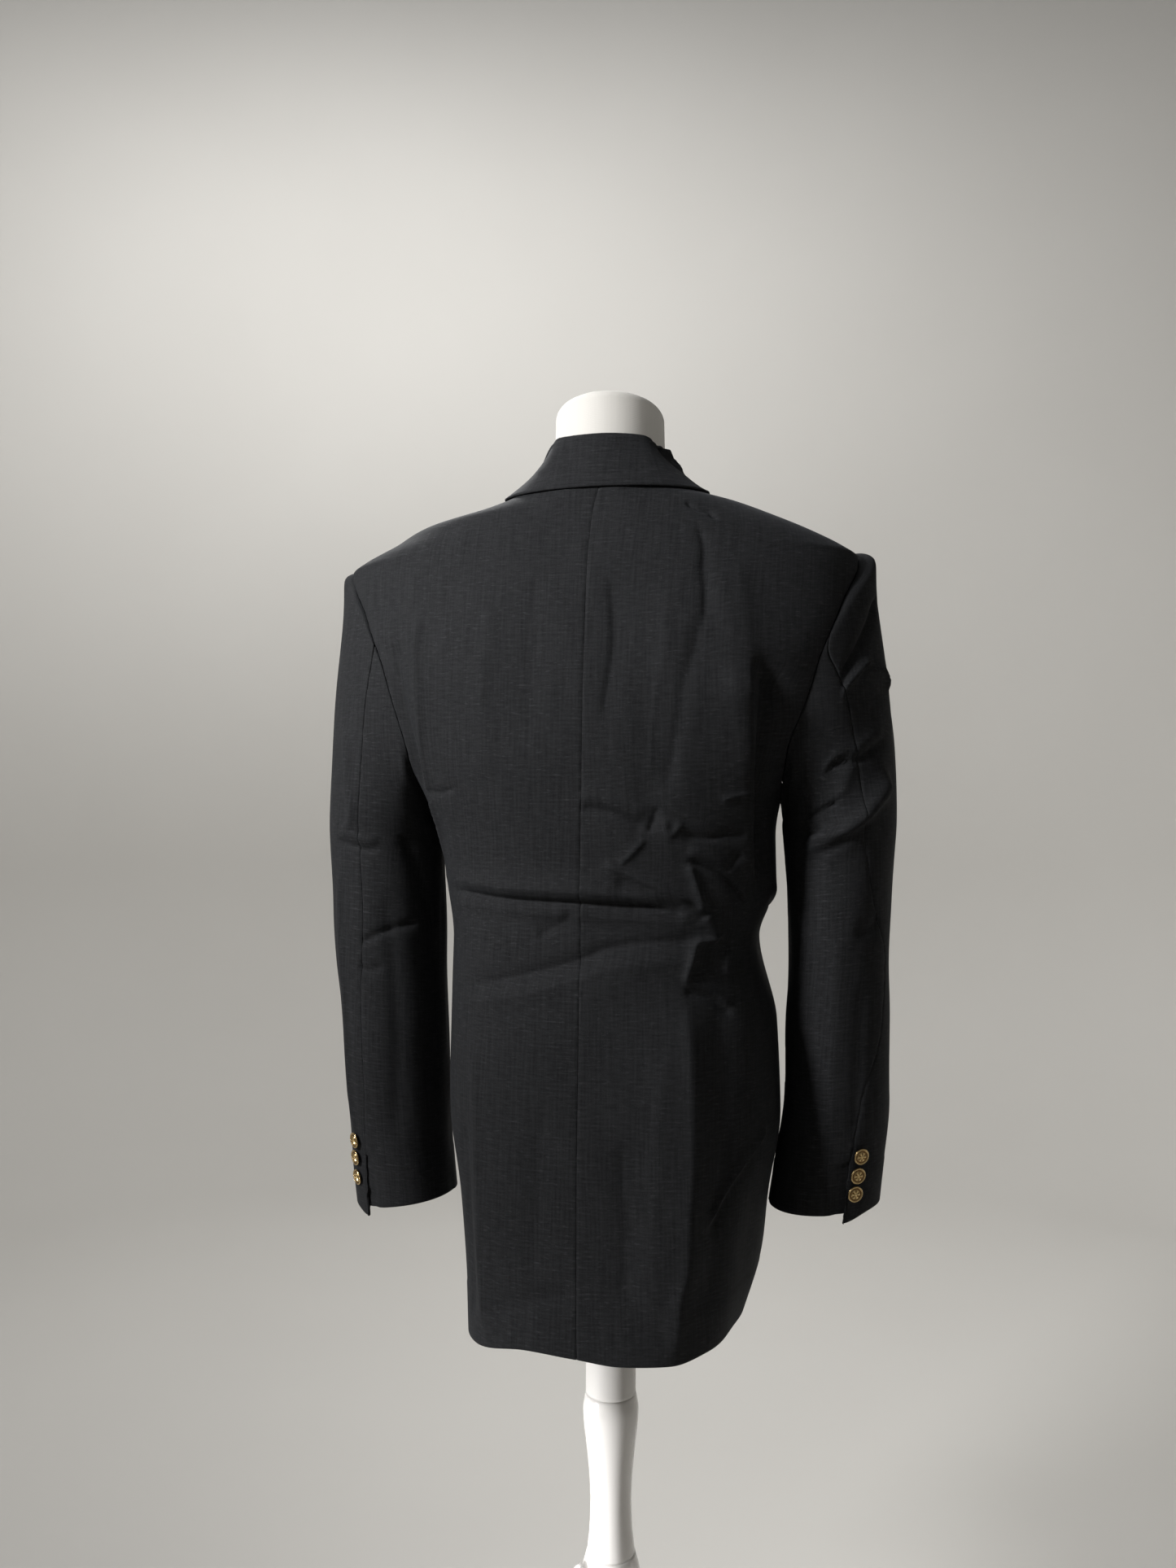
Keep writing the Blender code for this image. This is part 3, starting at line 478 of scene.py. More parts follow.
# Creases are rows of how far the cloth moves out, the half width (a pair where the two sides of
# the path differ), how far the path is raised, and the path: round from the centre back, and height
WAIST = ((168, 973), (124, 969), (75, 965), (9, 963), (-26, 961), (-69, 959), (-104, 951))
LOWER_ARC = ((140, 885), (41, 907), (9, 915), (-22, 925), (-60, 930), (-97, 931), (-127, 931))
CORNER = ((-92, 897), (-92, 835), (-92, 769), (-89, 701), (-88, 661), (-81, 633), (-80, 575))
ARM_FOLD = ((-128, 1175), (-131, 1123), (-135, 1100), (-139, 1075), (-149, 1035), (-157, 970))
LEFT_EDGE = ((151, 1235), (147, 1190), (143, 1140), (151, 1079), (165, 1030), (178, 990))
BODY_CREASES = (
    # Waist, behind
    (-5.5, 2.9, 0, WAIST),
    (3.2, 7.6, 10, WAIST),
    (1.9, 6.8, -11, WAIST),
    (-4.1, 6.8, 0, LOWER_ARC),
    (3.0, 10, -17, LOWER_ARC),
    (-3.6, 3.2, 0, ((8, 1046), (-21, 1041), (-43, 1033), (-57, 1026))),
    (2.0, 6.8, 10, ((8, 1046), (-21, 1041), (-43, 1033), (-57, 1026))),
    (4.2, 3.2, 0, ((-12, 999), (-39, 989), (-79, 973), (-104, 961))),
    (-3.0, 6.8, -11, ((-25, 995), (-49, 985), (-79, 973), (-98, 964))),
    (2.3, 2.9, 0, ((-32, 996), (-45, 1007), (-57, 1020))),
    (-2.8, 3.2, 0, ((-58, 1022), (-63, 1034), (-66, 1046))),
    (2.7, 2.9, 0, ((-70, 1036), (-78, 1022), (-88, 1034))),
    (-4.2, 2.9, 0, ((-92, 1001), (-118, 991), (-140, 977), (-152, 962))),
    (2.4, 3.8, 9, ((-92, 1001), (-118, 991), (-140, 977))),
    (4.2, 3.2, 0, ((-95, 999), (-104, 975), (-111, 953))),
    (-3.0, 3.2, 0, ((-87, 1022), (-110, 1019), (-130, 1022), (-146, 1023))),
    (-2.4, 3.8, 0, ((-140, 1008), (-133, 998), (-128, 990))),
    (2.4, 2.6, 0, ((-116, 1051), (-130, 1056), (-147, 1059))),
    (-3.0, 3.2, 0, ((-149, 1075), (-163, 1080), (-179, 1092))),
    (-2.4, 2.6, 0, ((164, 1061), (140, 1059), (119, 1063))),
    (-2.3, 6.8, 0, ((56, 934), (34, 943), (13, 957))),
    (2.7, 6, 0, ((-112, 953), (-122, 941), (-130, 930))),
    (5.2, 3.2, 0, ((-131, 932), (-109, 931), (-99, 911), (-92, 893))),
    (3.0, 2.6, 0, ((-145, 925), (-139, 912), (-134, 899))),
    (2.4, 2.9, 0, ((-90, 898), (-118, 890), (-137, 875))),
    (-2.7, 3.8, -8, ((-90, 898), (-118, 890), (-137, 875))),
    # The corner where the back turns to the right side, and the skirt
    (5.2, (7, 13), 0, CORNER),
    (-3.2, (14, 18), 0, ((-122, 905), (-122, 830), (-120, 760), (-115, 680), (-108, 610))),
    (4.8, 2.9, 0, ((-171, 772), (-151, 752), (-132, 733), (-105, 692))),
    (-3.0, 7.6, -12, ((-171, 772), (-151, 752), (-132, 733), (-105, 692))),
    (2.4, 12, 0, ((-72, 850), (-64, 760), (-60, 660), (-58, 600))),
    (-2.3, 9.3, 0, ((-34, 770), (-36, 700), (-40, 630))),
    (-1.9, 12, 0, ((40, 800), (46, 720), (50, 640))),
    (3.4, 6, 0, ((94, 583), (98, 640), (101, 700), (106, 790), (112, 860))),
    (-3.0, 7.6, 0, ((110, 590), (115, 680), (122, 780))),
    (-2.7, 10, 0, ((96, 612), (52, 629), (6, 640))),
    # Upper back
    (-2.2, (4, 18), 0, ((-21, 1252), (-26, 1213), (-26, 1189), (-22, 1155), (-14, 1112))),
    (1.7, (12, 7), 0, ((-84, 1250), (-75, 1207), (-72, 1177), (-62, 1133), (-59, 1099), (-57, 1052))),
    (-3.4, (9, 8), 0, ((-103, 1210), (-94, 1175), (-86, 1149), (-82, 1121), (-78, 1095), (-72, 1052))),
    (-2.9, (2.4, 6), 0, ((-119, 1298), (-117, 1273), (-111, 1251), (-109, 1231), (-103, 1195))),
    (2.2, (10, 10), 0, ((-123, 1260), (-121, 1211), (-120, 1165), (-121, 1115))),
    (-3.2, 2.6, 0, ((-117, 1317), (-127, 1309), (-135, 1307), (-135, 1297))),
    (3.0, (13, 9), 0, ((-136, 1262), (-131, 1195), (-129, 1125))),
    (8.0, (20, 5), 0, ARM_FOLD),
    (-11.5, (6, 13), 0, ((-138, 1180), (-141, 1123), (-144, 1100), (-149, 1075), (-160, 1030), (-167, 980))),
    (4.2, 3.8, 0, LEFT_EDGE),
    (-5.2, 6.8, 0, ((166, 1205), (160, 1150), (160, 1100), (172, 1055))),
    (1.9, 2.6, 0, ((172, 1222), (169, 1205), (163, 1163))),
    (1.5, 10, 0, ((98, 1240), (94, 1150), (92, 1060))),
    (-1.4, 12, 0, ((60, 1260), (54, 1180), (52, 1090))),
    # Sides and front, which the photograph doesn't show
    (-2.2, 3.8, 0, ((182, 972), (215, 968), (262, 958), (300, 955))),
    (1.4, 7.6, 11, ((182, 972), (215, 968), (262, 958), (300, 955))),
    (-3.6, 3.8, 0, ((452, 947), (410, 962), (365, 985), (325, 1018))),
    (-3.1, 6, 0, ((452, 941), (405, 935), (350, 922), (300, 900))),
    (-2.4, 3.8, 0, ((450, 955), (428, 985), (405, 1025))),
    (-2.2, 7.6, 0, ((300, 1150), (345, 1085), (380, 1030))),
    (2.2, 12, 0, ((330, 850), (336, 760), (340, 640))),
    (-2.0, 14, 0, ((390, 880), (396, 770), (398, 640))),
    (-2.2, 3.8, 0, ((-190, 965), (-222, 958), (-258, 950), (-306, 953))),
    (1.4, 7.6, 11, ((-190, 965), (-222, 958), (-258, 950), (-306, 953))),
    (-3.6, 3.8, 0, ((-452, 947), (-415, 965), (-372, 992), (-340, 1030))),
    (-2.9, 6, 0, ((-450, 939), (-402, 930), (-352, 912), (-296, 892))),
    (-2.2, 3.8, 0, ((-451, 957), (-436, 990), (-420, 1028))),
    (-2.2, 7.6, 0, ((-300, 1140), (-338, 1080), (-372, 1028))),
    (2.2, 12, 0, ((-322, 860), (-330, 770), (-338, 650))),
    (-2.0, 14, 0, ((-384, 880), (-388, 760), (-392, 640))),
)

# On the sleeves the path runs round from the outer side, and down from the top of the cap
SLEEVE_CREASES = {
    "left": (
        (-3.9, 2.6, 0, ((52, 261), (66, 265), (82, 269), (99, 272))),
        (2.3, 3.8, -9, ((52, 261), (66, 265), (82, 269), (99, 272))),
        (-3.2, 3.2, 0, ((74, 359), (96, 349), (118, 343), (136, 340))),
        (-2.3, 3.8, 0, ((70, 378), (84, 384), (98, 380))),
        (3.2, 3.8, 0, ((52, 150), (62, 190), (70, 230), (60, 262))),
        (2.8, 3.8, 0, ((56, 274), (51, 313), (46, 368), (42, 470), (44, 560))),
        (-2.8, 10, 0, ((104, 300), (108, 420), (100, 560))),
        (-3.4, 6.8, 0, ((120, 250), (138, 300), (150, 350))),
        (-2.6, (4, 10), 0, ((-28, 306), (-62, 296), (-104, 301), (-128, 312))),
        (-3.0, (5, 9), 0, ((-46, 334), (-84, 329), (-128, 345))),
        (-1.6, (4, 12), 0, ((-66, 372), (-98, 366), (-132, 374))),
        (-3.0, 8.5, 0, ((-20, 90), (-34, 150), (-52, 210))),
        (2.8, 10, 0, ((-10, 120), (-12, 300), (-16, 500))),
        (-3.0, 7.6, 0, ((-30, 400), (-36, 480), (-34, 570))),
    ),
    "right": (
        (6.5, (14, 3.5), 0, ((126, 270), (112, 267), (95, 260), (71, 242), (50, 224), (24, 210))),
        (4.5, 7.6, -12, ((120, 272), (95, 264), (71, 246), (50, 228), (30, 216))),
        (2.3, 6.8, 12, ((110, 270), (95, 264), (71, 246), (50, 228))),
        (-4.2, 2.9, 0, ((122, 207), (110, 210), (98, 210), (86, 202))),
        (-3.4, 2.6, 0, ((122, 259), (113, 248), (103, 236))),
        (3.0, 2.9, 0, ((112, 262), (104, 250), (97, 240))),
        (-5.9, 6.8, 0, ((26, 66), (40, 80), (58, 88), (76, 86))),
        (4.8, 3.8, 0, ((76, 100), (62, 106), (46, 112))),
        (4.2, 3.8, 0, ((56, 113), (42, 124), (28, 134), (16, 150))),
        (-4.2, 2.9, 0, ((98, 157), (80, 170), (62, 179), (34, 181))),
        (2.3, 6, -10, ((98, 157), (80, 170), (62, 179), (34, 181))),
        (3.0, 7.6, 0, ((92, 210), (80, 190), (70, 165))),
        (-2.7, 6.8, 0, ((40, 330), (58, 342), (72, 340))),
        (-2.4, 8.5, 0, ((60, 380), (66, 450), (70, 540))),
        (2.7, 8.5, 0, ((88, 330), (92, 430), (96, 540))),
        (-2.9, (5, 11), 0, ((-34, 292), (-70, 299), (-112, 290))),
        (-2.3, (4, 10), 0, ((-58, 343), (-88, 331), (-130, 327))),
        (-1.8, (4, 12), 0, ((-40, 372), (-76, 378), (-108, 369))),
        (-3.0, 8.5, 0, ((-16, 96), (-36, 150), (-48, 216))),
        (2.8, 10, 0, ((-8, 130), (-14, 300), (-14, 500))),
    ),
}

# On the collar the path runs along its stations and down the fall
COLLAR_CREASES = (
    (-3.1, 3.2, 0, ((-44, -4), (-52, 8), (-62, 18), (-76, 26))),
    (2.5, 3.8, 0, ((-56, -4), (-66, 6), (-80, 12))),
    (-2.2, 3.2, 0, ((-70, -4), (-84, 6), (-98, 12))),
    (2.0, 3.8, 0, ((-84, -4), (-96, 2), (-108, 6))),
    (-1.1, 7.6, 0, ((-14, 2), (-20, 20), (-26, 40))),
    (1.3, 8.5, 0, ((22, 0), (26, 16), (34, 34))),
)

# The largest folds, which the solids have too: both ends, how far out, and the width
BODY_FOLDS = (
    (-95, 948, 30, 950, -3.5, 16),
    (30, 950, 150, 962, -4.0, 15),
    (-95, 972, 130, 978, 3.0, 18),
    (-60, 905, 20, 880, 2.5, 16),
    (-80, 560, -84, 880, 6.0, 22),
    (-165, 560, -165, 760, -6.0, 32),
    (95, 560, 96, 860, 2.5, 20),
    (-60, 1190, -55, 1010, -3.0, 15),
    (-92, 1240, -80, 1060, 3.0, 16),
)


def body_radius(angle, height):
    """How far the cloth's outer face lies from the pole's axis."""
    level = height / MM
    wide = np.where(np.sin(angle) > 0, BODY("left", level), BODY("right", level)) * MM
    deep = np.where(np.cos(angle) > 0, BODY("back", level), BODY("front", level)) * MM
    behind = np.where(np.sin(angle) > 0, BODY("left_power", level), BODY("right_power", level))
    power = np.where(np.cos(angle) > 0, behind, BODY("front_power", level))
    sideways = np.abs(np.sin(angle) / wide) ** power
    return (sideways + np.abs(np.cos(angle) / deep) ** power) ** (-1 / power)


def body_surface(angle, height):
    radius = body_radius(angle, height)
    return xyz(radius * np.sin(angle), radius * np.cos(angle), height)


def body_normal(angle, height):
    step = 0.002
    across = body_surface(angle + step, height) - body_surface(angle - step, height)
    upward = body_surface(angle, height + step) - body_surface(angle, height - step)
    return unit(np.cross(upward, across))


def body_point(angle, height, out=0.0):
    """A point on the cloth's outer face, moved out along the normal."""
    out = np.asarray(out, float)[..., None]
    return body_surface(angle, height) + body_normal(angle, height) * out


def front_angle(x, height):
    """The angle where the front of the body has this sideways place."""
    level = height / MM
    wide = np.where(x > 0, BODY("left", level), BODY("right", level)) * MM
    power = BODY("front_power", level)
    share = np.clip(1 - np.abs(x / wide) ** power, 0, 1) ** (1 / power)
    return np.arctan2(x, -BODY("front", level) * MM * share) % (2 * math.pi)


def roll_line(height):
    """The sideways place of the roll line of the left front, and of the front edge below it."""
    share = np.clip((height - BREAK) / (NECK_SIDE - BREAK), 0, 1)
    return mix(-LAP, ROLL_TOP_X, share)


def neck_height(angle):
    """The height of the panels' neck edge, level in front and lower at the centre back."""
    return mix(NECK_BACK, NECK_SIDE, np.clip(np.abs(angle) / (90 * DEG), 0, 1))


def armhole_height(round_angle):
    middle = (SHOULDER_TIP + ARMPIT) / 2
    return middle + (SHOULDER_TIP - ARMPIT) / 2 * np.cos(round_angle * DEG)


def armhole_angle(side, round_angle):
    """The body angle of the armhole's edge, for a round angle from 0 to 360."""
    turned = np.where(round_angle > 180, 360 - round_angle, round_angle)
    behind = ARMHOLE("back", turned)
    before = ARMHOLE("front", turned)
    return side * np.where(round_angle > 180, before, behind) * DEG


def fold_out(place):
    """How far the largest folds move the cloth out at these places on the unrolled body."""
    total = np.zeros(place.shape[:-1])
    for round_0, height_0, round_1, height_1, out, width in BODY_FOLDS:
        start = np.array([round_0, height_0]) * MM
        run = np.array([round_1, height_1]) * MM - start
        inside = np.clip((place - start) @ run / (run @ run), 0, 1)
        away = np.linalg.norm(place - start - inside[..., None] * run, axis=-1)
        fade = np.sin(np.pi * np.clip(inside, FOLD_ENDS, 1 - FOLD_ENDS)) ** FOLD_FADE
        total += out * MM * bell(away, width * MM) * fade
    return total


def fold_profile(away, width):
    """A fold's cross-section: rounded tightly at its line, with long flanks."""
    share = away / width
    flank = np.exp(FLANK_SLOPE * (CREST_ROUND - np.hypot(share, CREST_ROUND)))
    return flank * smooth_step(CREASE_REACH - share)


def crease_out(creases, place):
    """How far the creases move the cloth out at these places, soft at both ends of each."""
    total = np.zeros(place.shape[:-1])
    for out, widths, raised, points in creases:
        path = smooth_line(np.array(points, float) + (0, raised), CREASE_STEPS)
        widths = np.broadcast_to(np.array(widths) * MM, 2)
        reach = CREASE_REACH * widths.max()
        low, high = path.min(axis=0) - reach, path.max(axis=0) + reach
        near = ((place > low) & (place < high)).all(axis=-1)
        if not near.any():
            continue
        spot = place[near][:, None]
        start = path[:-1]
        run = path[1:] - start
        inside = np.clip(((spot - start) * run).sum(-1) / (run * run).sum(-1), 0, 1)
        away = np.linalg.norm(spot - start - inside[..., None] * run, axis=-1)
        piece = away.argmin(axis=1)
        row = np.arange(len(piece))
        along = (piece + inside[row, piece]) / (CREASE_STEPS - 1)
        fade = smooth_step(along / CREASE_FADE) * smooth_step((1 - along) / CREASE_FADE)
        beside = spot[:, 0] - start[piece]
        turned = run[piece, 0] * beside[:, 1] - run[piece, 1] * beside[:, 0]
        width = np.where(turned > 0, *widths)
        total[near] += out * MM * fold_profile(away[row, piece], width) * fade
    return total


def unevenness(place):
    """How far the slight waves all over the cloth move it out at these places."""
    total = np.zeros(place.shape[:-1])
    for out, across, upward, phase in WAVES:
        turn = place[..., 0] / (across * MM) + place[..., 1] / (upward * MM)
        total += out * MM * np.sin(turn * math.pi + phase)
    return total


def seam_spaced(count, width):
    """Shares of a width from 0 to 1, closer together beside the seams at both ends."""
    beside = np.array(SEAM_COLUMNS) / width
    inner = SEAM_CLEAR / width
    middle = np.linspace(inner, 1 - inner, count)
    return np.concatenate([beside, middle, 1 - beside[::-1]])


def run_lengths(points, axis):
    """The length along the grid from its first row or column."""
    step = np.linalg.norm(np.diff(points, axis=axis), axis=-1)
    first = np.zeros_like(np.take(step, [0], axis=axis))
    return np.concatenate([first, np.cumsum(step, axis=axis)], axis=axis)


def outward_from_pole(points):
    return unit(points * np.array([1, 1, 0]))


def grain_lengths(points, normals):
    """Lengths across and down the cloth with the weft level, from the first column."""
    upright = np.array([0.0, 0.0, 1.0])
    down = unit(normals * normals[..., 2:] - upright + GRAIN_LEAN * outward_from_pole(points))
    ways = np.stack([np.cross(down, normals), down], axis=-1)
    first = np.cumsum(np.einsum("rk,rkw->rw", np.diff(points[:, 0], axis=0), ways[1:, 0]), axis=0)
    first = np.vstack([np.zeros((1, 2)), first])[:, None]
    rows = np.cumsum(np.einsum("rck,rckw->rcw", np.diff(points, axis=1), ways[:, 1:]), axis=1)
    return np.concatenate([first, first + rows], axis=1)


def seam_dip(points, seams):
    """How far the cloth sinks beside its seams: first and last column, then first and last row."""
    across = run_lengths(points, 1)
    down = run_lengths(points, 0)
    away = (across, across[:, -1:] - across, down, down[-1:] - down)
    along = (down, down, across, across)
    total = np.zeros(points.shape[:2])
    for is_seam, distance, place in zip(seams, away, along):
        if is_seam:
            depth = SEAM_DIP + PUCKER * np.sin(2 * math.pi * place / PUCKER_LENGTH)
            total -= depth * bell(distance, SEAM_WIDTH)
    return total


def grid_normals(points, facing):
    """Normals of a grid of points, on the side of the given directions."""
    found = unit(np.cross(np.gradient(points, axis=1), np.gradient(points, axis=0)))
    return found * np.sign((found * facing).sum(-1).mean())


def panel_levels(face):
    """For each row of a panel: its share of the skirt, its height and its side edge's angle."""
    even = np.linspace(0, 1, PANEL_ROWS, endpoint=False)
    skirt = even + WAIST_CROWDING * np.sin(2 * math.pi * (even - WAIST_SHARE)) / (2 * math.pi)
    skirt -= skirt[0]
    turn = np.linspace(180, 0, ARMHOLE_ROWS, endpoint=False)
    shoulder = np.linspace(0, 1, SHOULDER_ROWS)
    share = np.concatenate([skirt, np.ones(ARMHOLE_ROWS + SHOULDER_ROWS)])
    height = np.concatenate([skirt * 0, armhole_height(turn), shoulder * 0])
    rise = np.concatenate([skirt * 0, turn * 0, shoulder])
    edge = np.concatenate([skirt * 0 + SIDE_SEAM, ARMHOLE(face, turn), shoulder * 0 + 90])
    return share, height, rise, edge * DEG


def row_heights(angle, share, height, rise, top):
    """The heights of a panel's points."""
    skirt = mix(HEM("height", half_turns(angle / DEG)) * MM, ARMPIT, share[:, None])
    level = np.where(share[:, None] < 1, skirt, height[:, None])
    on_shoulder = np.arange(len(share)) >= PANEL_ROWS + ARMHOLE_ROWS
    return np.where(on_shoulder[:, None], mix(SHOULDER_TIP, top, rise[:, None]), level)


def back_grid(side):
    """Angles and heights of a back panel's points, from the centre-back seam to its side edge."""
    share, height, rise, edge = panel_levels("back")
    level = row_heights(np.zeros((len(share), 1)), share, height, rise, NECK_BACK)[:, 0]
    deep = BODY("back", level / MM) * MM
    start = np.arcsin(BODY("seam", level / MM) * MM / deep) + side * SEAM_GAP / 2 / deep
    end = side * (edge - SEAM_GAP / 2 / body_radius(side * edge, level))
    columns = seam_spaced(BACK_COLUMNS, BACK_WIDTH)
    angle = mix(start[:, None], end[:, None], columns[None, :])
    return angle, row_heights(angle, share, height, rise, neck_height(angle))


def front_grid(side):
    """Angles and heights of a front panel's points, from its side edge to its front edge."""
    share, height, rise, edge = panel_levels("front")
    level = row_heights(np.full((len(share), 1), math.pi), share, height, rise, NECK_SIDE)[:, 0]
    start = edge + SEAM_GAP / 2 / body_radius(side * edge, level)
    end = front_angle(side * roll_line(level), level)
    if side < 0:
        end = 2 * math.pi - end
    columns = seam_spaced(FRONT_COLUMNS, FRONT_WIDTH)
    angle = side * mix(start[:, None], end[:, None], columns[None, :])
    return angle, row_heights(angle, share, height, rise, NECK_SIDE)


def lap_out(side, angle, height):
    """The right front rises to pass over the left front."""
    if side > 0:
        return np.zeros_like(angle)
    across = body_surface(angle, height)[..., 0]
    share = smooth_step((across + LAP_EASE[0]) / (LAP_EASE[0] - LAP_EASE[1]))
    return np.where(np.cos(angle) < 0, LAP_RISE * share, 0)


def cloth_out(angle, height):
    """All that moves the body's cloth out or in, apart from its seams."""
    turned = half_turns(angle / DEG)
    place = np.stack([turned * DEG * UNROLLED_RADIUS, height], axis=-1)
    above_hem = height - HEM("height", turned) * MM
    turn_up = TURN_UP_RISE * smooth_step((TURN_UP - above_hem) / TURN_UP_EDGE)
    return fold_out(place) + crease_out(BODY_CREASES, place) + unevenness(place) + turn_up


def sleeve_ring(which, round_angle, height):
    """A point of the sleeve tube below the cap."""
    table = SLEEVES[which]
    level = height / MM
    turn = round_angle * DEG
    out = table("out", level) + table("half_width", level) * np.cos(turn)
    back = table("back", level) + table("half_depth", level) * np.sin(turn)
    return xyz(SIDES[which] * out * MM, back * MM, height)


def cap_start(which, round_angle):
    """The armhole's loop, drawn in all round by the seam's gap."""
    side = SIDES[which]
    whole = round_angle % 360
    turn = whole * DEG
    height = armhole_height(whole) - SEAM_GAP * np.cos(turn)
    angle = armhole_angle(side, whole)
    inward = side * np.sin(turn) * SEAM_GAP / body_radius(angle, height)
    return body_surface(angle + inward, height)


def cap_direction(which, round_angle):
    """The way the sleeve leaves the armhole, and how strongly."""
    turn = round_angle * DEG
    out = CAP_OUT[which] * (CAP_OUT_LEVEL + CAP_OUT_CHANGE * np.cos(turn))
    rise = np.where(np.cos(turn) > 0, CAP_RISE, CAP_SINK) * np.cos(turn)
    return xyz(SIDES[which] * out, CAP_BACK * np.sin(turn), rise - CAP_DIP * np.sin(turn) ** 2)


def head_out(which, round_angle, along):
    """The rounded head: the cap swells just below the top of the armhole."""
    top = np.maximum(np.cos(round_angle * DEG), 0) ** 2
    return xyz(SIDES[which] * HEAD_OUT[which] * top * swell(along, HEAD_PLACE), 0, 0)


def sleeve_surface(which, round_angle, along):
    """The sleeve's outer face: along runs 0 to 1 over the cap and 1 to 2 down to the cuff."""
    side = SIDES[which]
    leave = cap_direction(which, round_angle)
    start = cap_start(which, round_angle)
    end = sleeve_ring(which, round_angle, np.full_like(round_angle, CAP_END))
    drop = CAP_FALL + CAP_FALL_CHANGE * np.cos(round_angle * DEG)
    below = sleeve_ring(which, round_angle, np.full_like(round_angle, CAP_END - CAP_STEP))
    fall = unit(below - end) * drop[..., None]
    t = np.clip(along, 0, 1)
    cap = hermite(start, leave, end, fall, t[..., None]) + head_out(which, round_angle, t)
    middle = side * SLEEVES[which]("out", CUFF_LEVEL / MM) * MM
    tilt = CUFF_TILT[which] * side * (end[..., 0] - middle)
    height = mix(CAP_END, CUFF[which] + tilt, np.maximum(along - 1, 0))
    tube = sleeve_ring(which, round_angle, height)
    return np.where(np.asarray(along)[..., None] <= 1, cap, tube)


def sleeve_normal(which, round_angle, along):
    turn = 0.5
    step = 0.01
    before = sleeve_surface(which, round_angle - turn, along)
    after = sleeve_surface(which, round_angle + turn, along)
    above = sleeve_surface(which, round_angle, np.maximum(along - step, 0))
    below = sleeve_surface(which, round_angle, along + step)
    return SIDES[which] * unit(np.cross(below - above, after - before))


def sleeve_grid(which, is_top):
    """Angles round the sleeve, places along it, and how far the vent's underlap lies in."""
    cap = np.linspace(0, 1, CAP_ROWS + 1) ** CAP_CROWDING
    tube = np.linspace(1, 2, SLEEVE_ROWS + 1)[1:]
    along = np.concatenate([cap, tube])
    share = seam_spaced(*(TOP_SPACING if is_top else UNDER_SPACING))
    level = np.where(along <= 1, CAP_END, mix(CAP_END, CUFF[which], along - 1)) / MM
    lower = SLEEVES[which]("hind_seam", level)
    upper = mix(HIND_SEAM_TOP, lower, smooth_step(along))
    upper += HIND_SWELL[which] * swell(along, HIND_SWELL_PLACE)
    start = np.where(along < 1, upper, lower)
    end = np.full_like(along, FRONT_SEAM if is_top else FRONT_SEAM + 360)
    way = -1 if is_top else 1
    inset = way * SEAM_GAP / 2 / SLEEVE_RADIUS / DEG * (2 - np.minimum(along, 1))
    vent = np.maximum(along - VENT_TOP, 0) / (2 - VENT_TOP)
    angles = mix((start + inset)[:, None], (end - inset)[:, None], share)
    if is_top:
        longer = VENT_DROP * bell(share, VENT_SHARE)
        angles[:, 0] -= VENT_OPEN * vent
        return angles, along[:, None] + vent[:, None] * longer, np.zeros(angles.shape)
    lapped = smooth_step(vent * VENT_START)[:, None] * smooth_step(1 - share / UNDERLAP_SHARE)
    angles -= lapped * UNDERLAP / SLEEVE_RADIUS / DEG
    return angles, along[:, None] + 0 * angles, -UNDERLAP_DEPTH * smooth_step(lapped * 2)


def sleeve_place(which, round_angle, along):
    """Where a point lies on the unrolled sleeve: round from its outer side, and down from the cap."""
    tube = CAP_LENGTH + (along - 1) * (CAP_END - CUFF[which])
    down = np.where(along < 1, along * CAP_LENGTH, tube)
    return np.stack([half_turns(round_angle) * DEG * SLEEVE_RADIUS, down], axis=-1)


def collar_roll(station):
    """The line of the collar's roll at these stations."""
    return xyz(*(COLLAR(column, station) for column in ("roll_out", "roll_back", "roll"))) * MM


def pushed_clear(points, lift):
    """Points moved out along the body's normal where they lie closer to the cloth than lift."""
    angle = np.arctan2(points[..., 0], points[..., 1])
    height = points[..., 2]
    radius = np.linalg.norm(points[..., :2], axis=-1)
    normal = body_normal(angle, height)
    level = np.linalg.norm(normal[..., :2], axis=-1)
    above = (radius - body_radius(angle, height)) * level
    return points + normal * np.maximum(lift - above, 0)[..., None]


def collar_points():
    """The fall from inside the roll, over it and down to its outer edge, and each point's share."""
    stations = np.linspace(-6, 6, COLLAR_COLUMNS)
    roll = collar_roll(stations)
    outward = outward_from_pole(roll)
    centre = roll - (outward + (0, 0, 1)) * COLLAR_ROLL
    turn = np.linspace(180, 0, ROLL_ROWS)[:, None, None] * DEG
    arc = centre + (outward * np.cos(turn) + np.array([0, 0, 1]) * np.sin(turn)) * COLLAR_ROLL
    tail = arc[:1] - np.array([0, 0, COLLAR_ROLL])
    angle = COLLAR("edge_angle", stations) * DEG
    lift = np.full_like(stations, COLLAR_LIFT)
    edge = body_point(angle, COLLAR("edge", stations) * MM, lift)
    share = np.linspace(0, 1, COLLAR_ROWS + 1)[1:, None, None]
    fall = mix(arc[-1], edge, share)
    fall[..., 2] -= (4 * share * (1 - share))[..., 0] * COLLAR("dip", stations) * MM
    fall = pushed_clear(fall, COLLAR_LIFT)
    down = np.concatenate([np.full(ROLL_ROWS + 1, 0), share[:, 0, 0]])
    place = np.stack(np.broadcast_arrays(stations * STATION_LENGTH, down[:, None] * FALL_LENGTH), -1)
    return np.concatenate([tail, arc, fall]), place


